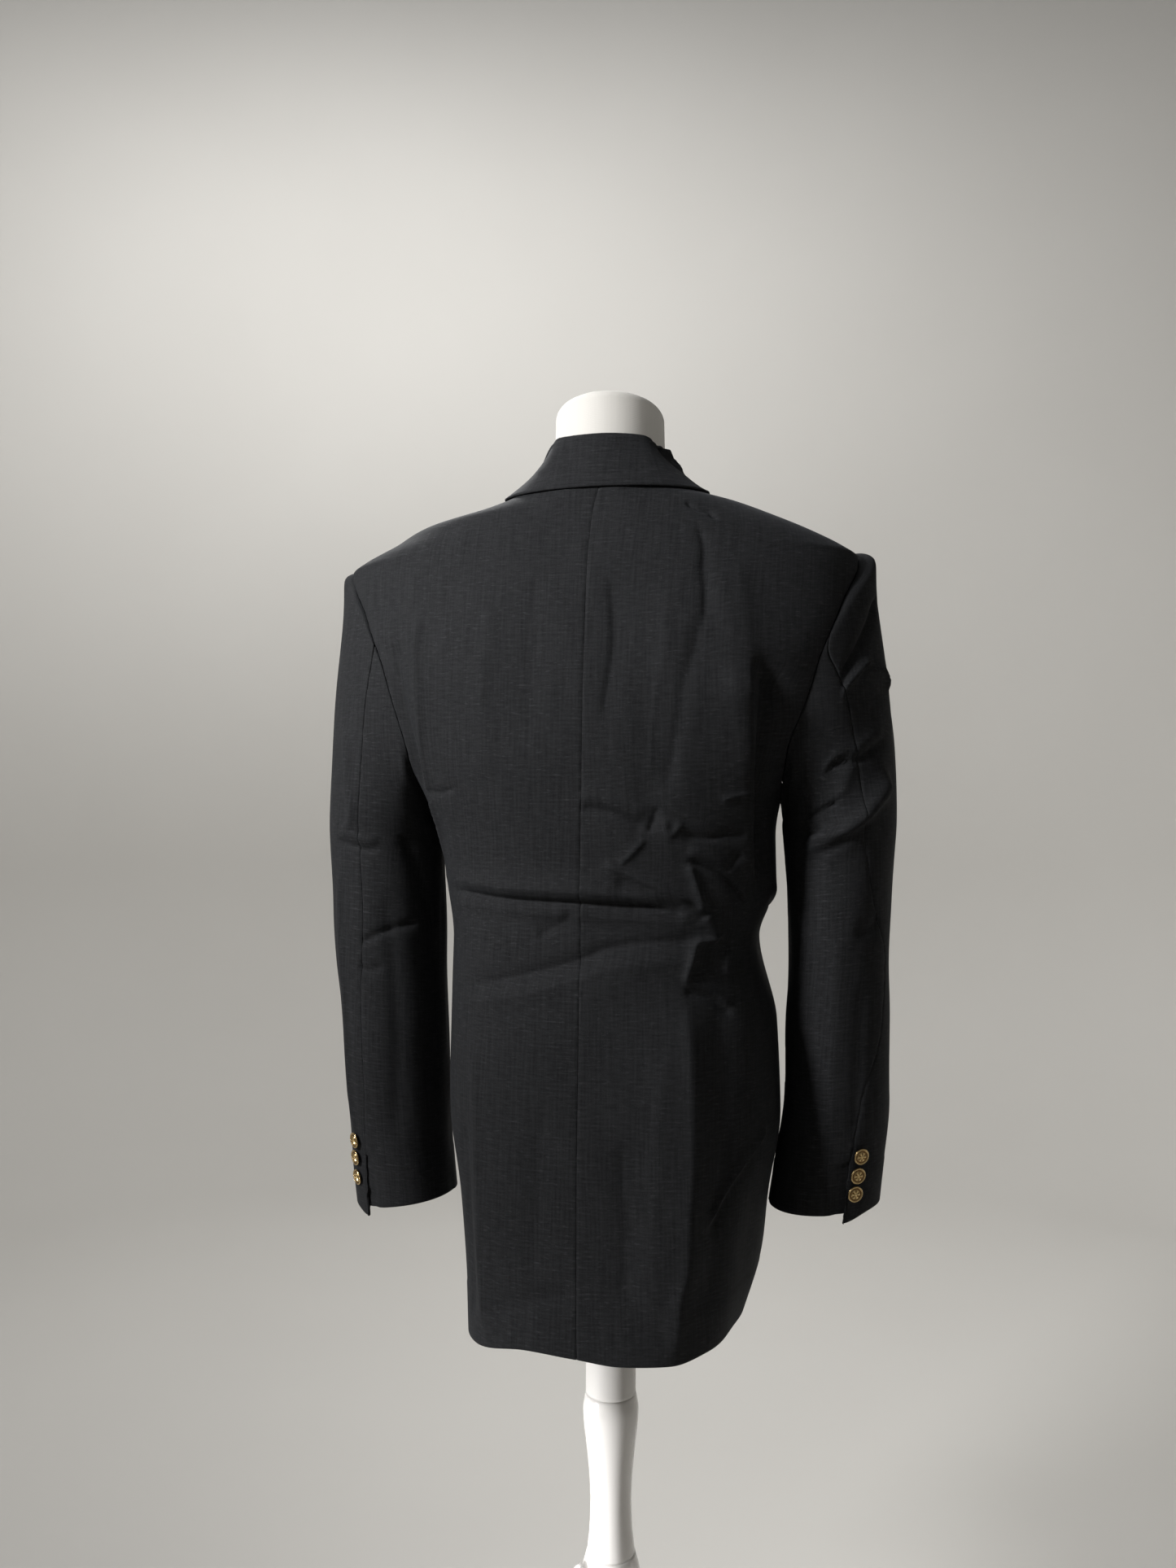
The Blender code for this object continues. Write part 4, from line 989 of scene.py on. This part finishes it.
def stand_points():
    """The collar's inner stand, from just under the roll down to the neckline."""
    stations = np.linspace(-STAND_STATION, STAND_STATION, COLLAR_COLUMNS // 2)
    angle = COLLAR("base_angle", stations) * DEG
    base = body_surface(angle, neck_height(angle) + 2 * SEAM_GAP)
    roll = collar_roll(stations)
    top = roll - outward_from_pole(roll) * (WALL + SEAM_GAP) - (0, 0, COLLAR_ROLL)
    return mix(top, base, np.linspace(0, 1, LAPEL_COLUMNS)[:, None, None])


def lapel_grid(side, first):
    """Angles, heights and lifts of a lapel turned back on its front panel."""
    along = np.linspace(first, 100, LAPEL_ROWS)[:, None]
    across = np.linspace(0, 1, LAPEL_COLUMNS)[None, :]
    inner_height = LAPEL("inner", along) * MM
    outer_height = LAPEL("outer", along) * MM
    inner = roll_line(inner_height)
    if side > 0:
        inner = np.maximum(inner, -inner + LAPEL_CLEAR)
    outer = roll_line(outer_height) + LAPEL("width", along) * MM
    height = mix(inner_height, outer_height, across)
    angle = front_angle(side * mix(inner, outer, across), height)
    notch = (along / 100) ** NOTCH_POWER * smooth_step(across * NOTCH_START)
    edge = (1 - (1 - across**3) * (1 - notch)) * smooth_step(along / CURL_END)
    lift = LAPEL_LIFT + ROLL_RISE * (1 - across) ** 2 + LAPEL_CURL * edge + WALL
    lift = lift + lap_out(side, angle, height)
    return angle, height, lift


def shell_mesh(outer, inner):
    """Points and faces of a closed wall between two grids, with a rim that bulges a little."""
    rows, columns = outer.shape[:2]
    count = rows * columns
    index = np.arange(count).reshape(rows, columns)
    corners = [index[:-1, :-1], index[:-1, 1:], index[1:, 1:], index[1:, :-1]]
    quads = np.stack(corners, axis=-1).reshape(-1, 4)
    border = np.concatenate([index[0, :-1], index[:-1, -1], index[-1, :0:-1], index[:0:-1, 0]])
    i = np.clip(border // columns, 1, rows - 2)
    j = np.clip(border % columns, 1, columns - 2)
    flat_outer, flat_inner = outer.reshape(-1, 3), inner.reshape(-1, 3)
    middle = (flat_outer[border] + flat_inner[border]) / 2
    away = unit(flat_outer[border] - flat_outer[i * columns + j])
    middle = middle + away * RIM_BULGE
    rim = 2 * count + np.arange(len(border))
    after, rim_after = np.roll(border, -1), np.roll(rim, -1)
    upper = np.stack([after, border, rim, rim_after], axis=-1)
    lower = np.stack([rim_after, rim, border + count, after + count], axis=-1)
    faces = np.concatenate([quads, quads[:, ::-1] + count, upper, lower])
    grain = np.concatenate([np.arange(count), np.arange(count), border])
    return np.concatenate([flat_outer, flat_inner, middle]), faces, grain


def new_object(name, data):
    made = bpy.data.objects.new(name, data)
    bpy.context.scene.collection.objects.link(made)
    return made


def add_mesh(name, points, faces, material, replaced, grain=None):
    """A piece of the object from its points and faces, riding on the frame."""
    mesh = bpy.data.meshes.new(name)
    shifted = np.asarray(points) + (POLE_X, POLE_Y, 0)
    mesh.from_pydata(shifted.tolist(), [], [list(map(int, face)) for face in faces])
    mesh.materials.append(material)
    mesh.shade_smooth()
    if grain is not None:
        layer = mesh.uv_layers.new(name="grain")
        corner = np.empty(len(mesh.loops), np.int32)
        mesh.loops.foreach_get("vertex_index", corner)
        layer.uv.foreach_set("vector", grain[corner].astype(np.float32).ravel())
    made = new_object(name, mesh)
    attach(made, "root")
    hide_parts(*replaced)
    return made


def add_shell(name, points, facing, material, grain=None):
    """A cloth piece: a wall whose outer face is the grid of points."""
    normals = grid_normals(points, facing)
    shell, faces, source = shell_mesh(points, points - normals * WALL)
    turned = np.cross(np.gradient(points, axis=1), np.gradient(points, axis=0))
    if (turned * normals).sum() < 0:
        faces = faces[:, ::-1]
    if grain is None:
        grain = grain_lengths(points, normals)
    grain = grain.reshape(-1, 2)
    made = add_mesh(f"{name}_cloth", shell, faces, material, [name], grain[source])


def armhole_ease(points, column):
    """The share of the folds that is left near the armhole's edge, where the sleeve is set in."""
    along = run_lengths(points, 1)
    away = np.abs(along - along[:, column][:, None])
    rows = np.arange(len(points))[:, None] - (PANEL_ROWS - EASE_ROWS)
    return mix(1, smooth_step(away / ARMHOLE_EASE), smooth_step(rows / EASE_ROWS))


def add_panel(name, grid, side, armhole_column, seams, material):
    """A back or front panel, whose armhole edge is the given column of its grid."""
    angle, height = grid(side)
    points = body_surface(angle, height)
    normals = body_normal(angle, height)
    out = cloth_out(angle, height) * armhole_ease(points, armhole_column) + lap_out(side, angle, height)
    out += seam_dip(points, seams)
    add_shell(name, points + normals * out[..., None], normals, material)


def add_sleeve_piece(name, which, material):
    angle, along, under = sleeve_grid(which, name.startswith("top"))
    points = sleeve_surface(which, angle, along)
    normals = sleeve_normal(which, angle, along)
    place = sleeve_place(which, angle, along)
    to_cuff = CAP_LENGTH + CAP_END - CUFF[which] - place[..., 1]
    turn_up = TURN_UP_RISE * smooth_step((TURN_UP - to_cuff) / TURN_UP_EDGE)
    out = crease_out(SLEEVE_CREASES[which], place) + unevenness(place) + turn_up
    out = out * smooth_step(along * CAP_LENGTH / ARMHOLE_EASE) + under
    out += seam_dip(points, (True, True, True, False))
    add_shell(name, points + normals * out[..., None], normals, material)


def add_collar(material):
    points, place = collar_points()
    facing = grid_normals(points, outward_from_pole(points))
    points = points + facing * crease_out(COLLAR_CREASES, place)[..., None]
    add_shell("collar", points, facing, material, place)


def add_collar_stand(material):
    points = stand_points()
    add_shell("collar_stand", points, outward_from_pole(points), material)


def add_lapel(name, side, first, material):
    angle, height, lift = lapel_grid(side, first)
    lift = lift + cloth_out(angle, height) * smooth_step((height - BREAK) / LAPEL_SETTLE)
    normals = body_normal(angle, height)
    points = body_surface(angle, height) + normals * lift[..., None]
    add_shell(name, points, normals, material)


def ring_faces(rings, segments):
    """Faces between rings of points, and over both ends."""
    index = np.arange(rings * segments).reshape(rings, segments)
    after = np.roll(index, -1, axis=1)
    sides = np.stack([index[:-1], after[:-1], after[1:], index[1:]], axis=-1).reshape(-1, 4)
    return [*sides.tolist(), index[0, ::-1].tolist(), index[-1].tolist()]


def form_point(angle, height):
    """The dress form's face: under the cloth's inner face, with narrower shoulders and a neck."""
    level = height / MM
    behind = smooth_step(FORM_SIDE + FORM_SIDE_SLOPE * np.cos(angle))
    hidden = mix(*FORM_HIDDEN_ROOM, behind) * (1 - FORM("neck", level) / 100)
    under = body_point(angle, height, -WALL - FORM("inset", level) * MM - hidden)
    neck = xyz(FORM_NECK * np.sin(angle), FORM_NECK * np.cos(angle), height)
    point = mix(under, neck, FORM("neck", level)[..., None] / 100)
    wide, room = FORM_SHOULDER
    beyond = np.maximum(np.abs(point[..., 0]) - wide, 0)
    inside = np.minimum(np.abs(point[..., 0]), wide)
    point[..., 0] = np.sign(point[..., 0]) * (inside + room * np.tanh(beyond / room))
    return point


def add_form(material):
    """The torso and neck, one smooth jersey-covered body with a slanted top."""
    angle = -full_turn(FORM_SEGMENTS)
    rings = []
    for turn in np.linspace(0, 90, FORM_EDGE_ROWS) * DEG:
        rise = FORM_BOTTOM_ROUND * (1 - math.cos(turn))
        ring = form_point(angle, np.full_like(angle, FORM_BOTTOM + rise))
        ring[:, :2] *= 1 - FORM_BOTTOM_ROUND * (1 - math.sin(turn)) / FORM_BOTTOM_RADIUS
        rings.append(ring)
    for level in np.concatenate([np.linspace(*part) for part in FORM_LEVELS]):
        rings.append(form_point(angle, np.full_like(angle, level)))
    for turn in np.linspace(0, 90, FORM_TOP_ROWS) * DEG:
        radius = FORM_NECK - FORM_EDGE * (1 - math.cos(turn))
        x, y = radius * np.sin(angle), radius * np.cos(angle)
        top = FORM_TOP + FORM_TOP_SLOPE * (y - FORM_NECK) - FORM_EDGE * (1 - math.sin(turn))
        rings.append(xyz(x, y, top))
    middle = rings[-1] * (0.5, 0.5, 1)
    middle[:, 2] = FORM_TOP + FORM_TOP_SLOPE * (middle[:, 1] - FORM_NECK)
    rings.append(middle)
    faces = ring_faces(len(rings), FORM_SEGMENTS)
    add_mesh("form_jersey", np.concatenate(rings), faces, material, ["form_torso"])


def turned_points(profile):
    """Rings of points of a turned piece, its profile read as a smooth curve."""
    radius, height = smooth_line(profile, TURNED_ROWS).T[..., None]
    return around(radius, full_turn(TURNED_SEGMENTS), height).reshape(-1, 3)


def leg_points(heading):
    """A leg that sweeps out from the hub and down to its foot."""
    rings = []
    turn = full_turn(LEG_SEGMENTS)
    for place in np.linspace(0, 100, LEG_ROWS):
        ahead = np.array([LEG("reach", place + 1) - LEG("reach", place - 1), 0])
        ahead[1] = LEG("height", place + 1) - LEG("height", place - 1)
        level = smooth_step(1 - place / LEG_END_TURN)
        upright = smooth_step(1 - (100 - place) / LEG_END_TURN)
        ahead = unit(unit(ahead) * (1 - level - upright) + np.array([level, -upright]))
        up = LEG("half_height", place) * MM * np.sin(turn)
        x = LEG("reach", place) * MM - ahead[1] * up
        z = LEG("height", place) * MM + ahead[0] * up
        rings.append(xyz(x, LEG("half_width", place) * MM * np.cos(turn), z))
    x, y, z = np.concatenate(rings).T
    cos, sin = math.cos(heading * DEG), math.sin(heading * DEG)
    return xyz(x * cos - y * sin, x * sin + y * cos, z)


def add_stand(tube_paint, gloss_paint):
    faces = ring_faces(TURNED_ROWS, TURNED_SEGMENTS)
    for name, profile in TURNED.items():
        paint = tube_paint if name == "pole_tube" else gloss_paint
        add_mesh(f"{name}_painted", turned_points(profile), faces, paint, [name])
    foot = turned_points(FOOT_PROFILE)
    leg_faces = ring_faces(LEG_ROWS, LEG_SEGMENTS)
    for number, heading in enumerate(LEG_HEADINGS, start=1):
        leg = leg_points(heading)
        add_mesh(f"leg_{number}_painted", leg, leg_faces, gloss_paint, [f"leg_{number}"])
        placed = foot + around(LEG_REACH, heading * DEG, 0)
        add_mesh(f"foot_{number}_painted", placed, faces, gloss_paint, [f"foot_{number}"])


def button_dome(share):
    return DOME_BASE + DOME_RISE * np.sqrt(np.clip(1 - (share * DOME_CURVE) ** 2, 0, 1))


def button_relief(share, turn):
    """The height of the button's face in millimetres, by the share of its radius and the turn."""
    strands = ROPE_HEIGHT + ROPE_DEPTH * np.sin(ROPE_TURNS * turn + ROPE_SLANT * share)
    rope = bell(share - ROPE_PLACE, ROPE_WIDTH) * strands
    band = -BAND_DEPTH * bell(share - BAND_PLACE, BAND_WIDTH)
    inner, length = PETAL_REACH
    petal = PETAL_ROUND * np.abs(np.cos(PETALS / 2 * turn)) - PETAL_SUNK
    flower = PETAL_HEIGHT * petal * np.sin(np.pi * np.clip((share - inner) / length, 0, 1))
    heart = HEART_HEIGHT * bell(share, HEART_WIDTH)
    return button_dome(share) + rope + band + flower + heart


def button_points(radius):
    """The button's rings of points, and how far each stands up from its hollows, which the gold's painted
    shade follows.
    """
    turn = full_turn(BUTTON_SEGMENTS)
    rim_share, rim_height = np.array(BUTTON_RIM).T[..., None]
    dome_share = np.linspace(DOME_EDGE, DOME_MIDDLE, BUTTON_ROWS)[:, None]
    share = np.concatenate([rim_share, dome_share])
    height = np.concatenate([rim_height + 0 * turn, button_relief(dome_share, turn)])
    raised = (height - button_dome(share) - BUTTON_HOLLOW) / (BUTTON_CREST - BUTTON_HOLLOW)
    points = around(share * radius, turn, height * MM)
    return points.reshape(-1, 3), np.clip(raised, 0, 1).ravel()


def add_button(name, point, normal, radius, material):
    """A metal button standing just off the cloth, its face square to the normal."""
    turn = np.array(Vector(normal).to_track_quat("Z", "Y").to_matrix())
    points, raised = button_points(radius)
    points = points @ turn.T + point + normal * SEAM_GAP
    faces = ring_faces(len(BUTTON_RIM) + BUTTON_ROWS, BUTTON_SEGMENTS)
    made = add_mesh(f"{name}_gold", points, faces, material, [name])
    # How raised each point is sets the painted shade that darkens the gold in the button's hollows
    made.data.attributes.new("raised", "FLOAT", "POINT").data.foreach_set("value", raised)


def add_cuff_buttons(which, material):
    for number, height in enumerate(CUFF_BUTTON_HEIGHTS[which], start=1):
        level = height * MM
        along = np.array(1 + (CAP_END - level) / (CAP_END - CUFF[which]))
        hind = float(SLEEVES[which]("hind_seam", height))
        angle = np.array(hind - CUFF_BUTTON_IN[which] / SLEEVE_RADIUS / DEG)
        point = sleeve_surface(which, angle, along)
        normal = sleeve_normal(which, angle, along)
        add_button(f"cuff_button_{which}_{number}", point, normal, CUFF_BUTTON_RADIUS, material)


def add_front_buttons(material):
    for number, height in enumerate(FRONT_BUTTON_HEIGHTS, start=1):
        level = np.array(height * MM)
        angle = front_angle(np.array(0.0), level)
        point = body_point(angle, level, LAP_RISE)
        normal = body_normal(angle, level)
        add_button(f"front_button_{number}", point, normal, FRONT_BUTTON_RADIUS, material)


def add_node(tree, kind, settings=None, **inputs):
    """A shader node with its settings, and its inputs linked or set by name or number."""
    made = tree.nodes.new(kind)
    for key, value in (settings or {}).items():
        setattr(made, key, value)
    for key, value in inputs.items():
        socket = made.inputs[int(key[1:])] if key[0] == "_" else made.inputs[key.replace("_", " ")]
        if isinstance(value, bpy.types.NodeSocket):
            tree.links.new(value, socket)
        else:
            socket.default_value = value
    return made


def maths(tree, operation, a, b=0.0, c=0.0):
    return add_node(tree, "ShaderNodeMath", {"operation": operation}, _0=a, _1=b, _2=c).outputs[0]


def weighted_sum(tree, start, *parts):
    """The start value plus each part times its weight."""
    total = start
    for value, weight in parts:
        total = maths(tree, "MULTIPLY_ADD", value, weight, total)
    return total


def new_material(name, **finish):
    """A material whose constant finish is set on the shader's own sockets."""
    made = bpy.data.materials.new(name)
    made.use_nodes = True
    shader = made.node_tree.nodes["Principled BSDF"]
    for key, value in finish.items():
        shader.inputs[key.replace("_", " ")].default_value = value
    return made, made.node_tree, shader


def object_place(tree):
    return add_node(tree, "ShaderNodeTexCoord").outputs["Object"]


def noise(tree, where, scale, detail):
    made = add_node(tree, "ShaderNodeTexNoise", None, Vector=where, Scale=scale, Detail=detail)
    return made.outputs["Fac"]


def streaks(tree, where, across, along, detail):
    """Noise stretched so that it has this many waves a metre across and along."""
    waves = (across, along, 1.0)
    scaled = add_node(tree, "ShaderNodeVectorMath", {"operation": "MULTIPLY"}, _0=where, _1=waves)
    return noise(tree, scaled.outputs[0], 1.0, detail)


def colour_between(tree, shader, share, dark, light):
    ramp = add_node(tree, "ShaderNodeValToRGB", None, Fac=share)
    ramp.color_ramp.elements[0].color = (*dark, 1)
    ramp.color_ramp.elements[1].color = (*light, 1)
    tree.links.new(ramp.outputs["Color"], shader.inputs["Base Color"])


def add_bump(tree, shader, height, strength, distance):
    bump = add_node(tree, "ShaderNodeBump", None, Height=height, Strength=strength, Distance=distance)
    tree.links.new(bump.outputs[0], shader.inputs["Normal"])


def cloth_material():
    """Black slubby plain weave: threads both ways, uneven yarn, and thicker slubs along the weft."""
    made, tree, shader = new_material(
        "blazer_cloth",
        Roughness=0.80,
        Specular_IOR_Level=0.10,
        Sheen_Weight=0.02,
        Sheen_Roughness=0.5,
        Sheen_Tint=(0.80, 0.86, 1.0, 1.0),
    )
    where = add_node(tree, "ShaderNodeUVMap", {"uv_map": "grain"}).outputs[0]
    parts = add_node(tree, "ShaderNodeSeparateXYZ", None, Vector=where).outputs[:2]
    turn = math.pi / THREAD
    threads = [maths(tree, "SINE", maths(tree, "MULTIPLY", part, turn)) for part in parts]
    weave = maths(tree, "MULTIPLY", *threads)
    warp = streaks(tree, where, 520, 22, 3.0)
    weft = streaks(tree, where, 80, 520, 3.0)
    slub = streaks(tree, where, 130, 520, 1.0)
    speck = streaks(tree, where, 900, 900, 2.0)
    patch = streaks(tree, where, 9, 7, 1.0)
    thick = add_node(tree, "ShaderNodeMapRange", None, Value=slub, From_Min=0.60, From_Max=0.74).outputs[0]
    patched = maths(tree, "MULTIPLY", thick, patch)
    tones = ((warp, 0.6), (weft, 0.65), (speck, 0.5), (patched, 0.672), (weave, 0.05))
    share = weighted_sum(tree, -0.52, *tones)
    colour_between(tree, shader, share, (0.0075, 0.0078, 0.0086), (0.036, 0.0370, 0.0396))
    height = weighted_sum(tree, 0.0, (weave, 0.35), (warp, 1.0), (weft, 1.0), (thick, 1.0))
    add_bump(tree, shader, height, 0.35, 0.00018)
    return made


def jersey_material():
    """White cotton jersey: fine ribs of knit, a little mottled."""
    made, tree, shader = new_material(
        "form_jersey", Roughness=0.88, Specular_IOR_Level=0.25, Sheen_Weight=0.15, Sheen_Roughness=0.5
    )
    where = object_place(tree)
    bands = {"wave_type": "BANDS", "bands_direction": "Z"}
    ribs = add_node(tree, "ShaderNodeTexWave", bands, Vector=where, Scale=260.0, Distortion=1.4, Detail=1.0)
    mottle = streaks(tree, where, 38, 38, 3.0)
    fine = streaks(tree, where, 1300, 1300, 1.0)
    share = weighted_sum(tree, 0.0, (mottle, 0.7), (fine, 0.25))
    colour_between(tree, shader, share, (0.62, 0.60, 0.56), (0.77, 0.75, 0.715))
    add_bump(tree, shader, weighted_sum(tree, ribs.outputs["Fac"], (fine, 0.8)), 0.25, 0.0002)
    return made


def paint_material(name, roughness, coat):
    """White paint, faintly uneven where it was brushed on."""
    made, tree, shader = new_material(
        name, Roughness=roughness, Specular_IOR_Level=0.45, Coat_Weight=coat, Coat_Roughness=0.12
    )
    where = object_place(tree)
    colour_between(tree, shader, streaks(tree, where, 14, 14, 3.0), (0.76, 0.73, 0.70), (0.86, 0.84, 0.82))
    add_bump(tree, shader, noise(tree, where, 160.0, 2.0), 0.12, 0.0004)
    return made


def gold_material():
    """Gilt metal, with painted shade making it dark in the hollows, where it is also duller."""
    made, tree, shader = new_material("button_gold", Metallic=1.0)
    wear = noise(tree, object_place(tree), 420.0, 4.0)
    raised = add_node(tree, "ShaderNodeAttribute", {"attribute_name": "raised"}).outputs["Fac"]
    # Painted shade: dark in the hollows and full gold on the crests, with a little random wear mixed in
    bright = weighted_sum(tree, 0.0, (raised, 0.8), (wear, 0.2))
    colour_between(tree, shader, bright, (0.10, 0.034, 0.006), (1.0, 0.76, 0.38))
    rough = add_node(tree, "ShaderNodeMapRange", None, Value=bright, To_Min=0.34, To_Max=0.12).outputs[0]
    tree.links.new(rough, shader.inputs["Roughness"])
    return made


def room_material():
    made, tree, shader = new_material("studio_pale", Roughness=0.9, Specular_IOR_Level=0.1)
    tone = noise(tree, object_place(tree), 1.5, 2.0)
    colour_between(tree, shader, tone, (0.58, 0.565, 0.535), (0.62, 0.605, 0.575))
    return made


def add_room():
    """A round pale floor that curves up into a wall, open at the top."""
    profile = [(ROOM_CENTRE, 0), (ROOM_RADIUS / 2, 0)]
    flat = ROOM_RADIUS - ROOM_CORNER
    for turn in np.linspace(0, 90, ROOM_CORNER_ROWS) * DEG:
        profile.append((flat + ROOM_CORNER * math.sin(turn), ROOM_CORNER * (1 - math.cos(turn))))
    profile.append((ROOM_RADIUS, ROOM_HEIGHT))
    radius, height = np.array(profile).T[..., None]
    points = around(radius, full_turn(ROOM_SEGMENTS), height).reshape(-1, 3)
    faces = ring_faces(len(profile), ROOM_SEGMENTS)[:-1]
    mesh = bpy.data.meshes.new("studio_room")
    mesh.from_pydata(points.tolist(), [], [face[::-1] for face in faces])
    mesh.materials.append(room_material())
    mesh.shade_smooth()
    made = new_object("studio_room", mesh)


def add_light(name, place, aim, size, power, spread):
    data = bpy.data.lights.new(name, "AREA")
    data.shape = "DISK"
    data.size = size
    data.energy = power
    data.spread = spread * DEG
    made = new_object(name, data)
    made.location = place
    made.rotation_euler = (Vector(aim) - Vector(place)).to_track_quat("-Z", "Y").to_euler()
    made.visible_camera = False


def add_studio():
    add_room()
    for name, values in LIGHTS.items():
        add_light(name, *values)
    world = bpy.data.worlds.new("studio_air")
    world.use_nodes = True
    air = world.node_tree.nodes["Background"]
    air.inputs["Color"].default_value = AIR_COLOUR
    air.inputs["Strength"].default_value = AMBIENT
    bpy.context.scene.world = world
    bpy.context.scene.view_settings.view_transform = "Standard"


def add_camera():
    data = bpy.data.cameras.new("camera")
    data.lens = LENS
    data.sensor_width = SENSOR
    made = new_object("camera", data)
    turn = CAMERA_TURN * DEG
    place = np.array([-math.sin(turn), math.cos(turn)]) * CAMERA_DISTANCE
    heading = math.atan2(-place[1], -place[0]) + CAMERA_ASIDE * DEG
    level, rise = math.cos(CAMERA_UP * DEG), math.sin(CAMERA_UP * DEG)
    ahead = Vector((math.cos(heading) * level, math.sin(heading) * level, rise))
    made.location = (place[0] + POLE_X, place[1] + POLE_Y, CAMERA_HEIGHT)
    made.rotation_euler = ahead.to_track_quat("-Z", "Y").to_euler()
    bpy.context.scene.camera = made


def main():
    add_camera()
    cloth = cloth_material()
    gold = gold_material()
    for which, side in SIDES.items():
        add_panel(f"back_{which}", back_grid, side, -1, (True, True, False, False), cloth)
        add_panel(f"front_{which}", front_grid, side, 0, (True, False, False, False), cloth)
        add_sleeve_piece(f"top_sleeve_{which}", which, cloth)
        add_sleeve_piece(f"under_sleeve_{which}", which, cloth)
        add_lapel(f"lapel_{which}", side, LAPEL_START[which], cloth)
        add_cuff_buttons(which, gold)
    add_collar(cloth)
    add_collar_stand(cloth)
    add_front_buttons(gold)
    add_form(jersey_material())
    add_stand(paint_material("tube_paint", 0.55, 0.0), paint_material("gloss_paint", 0.22, 0.5))
    add_studio()


main()
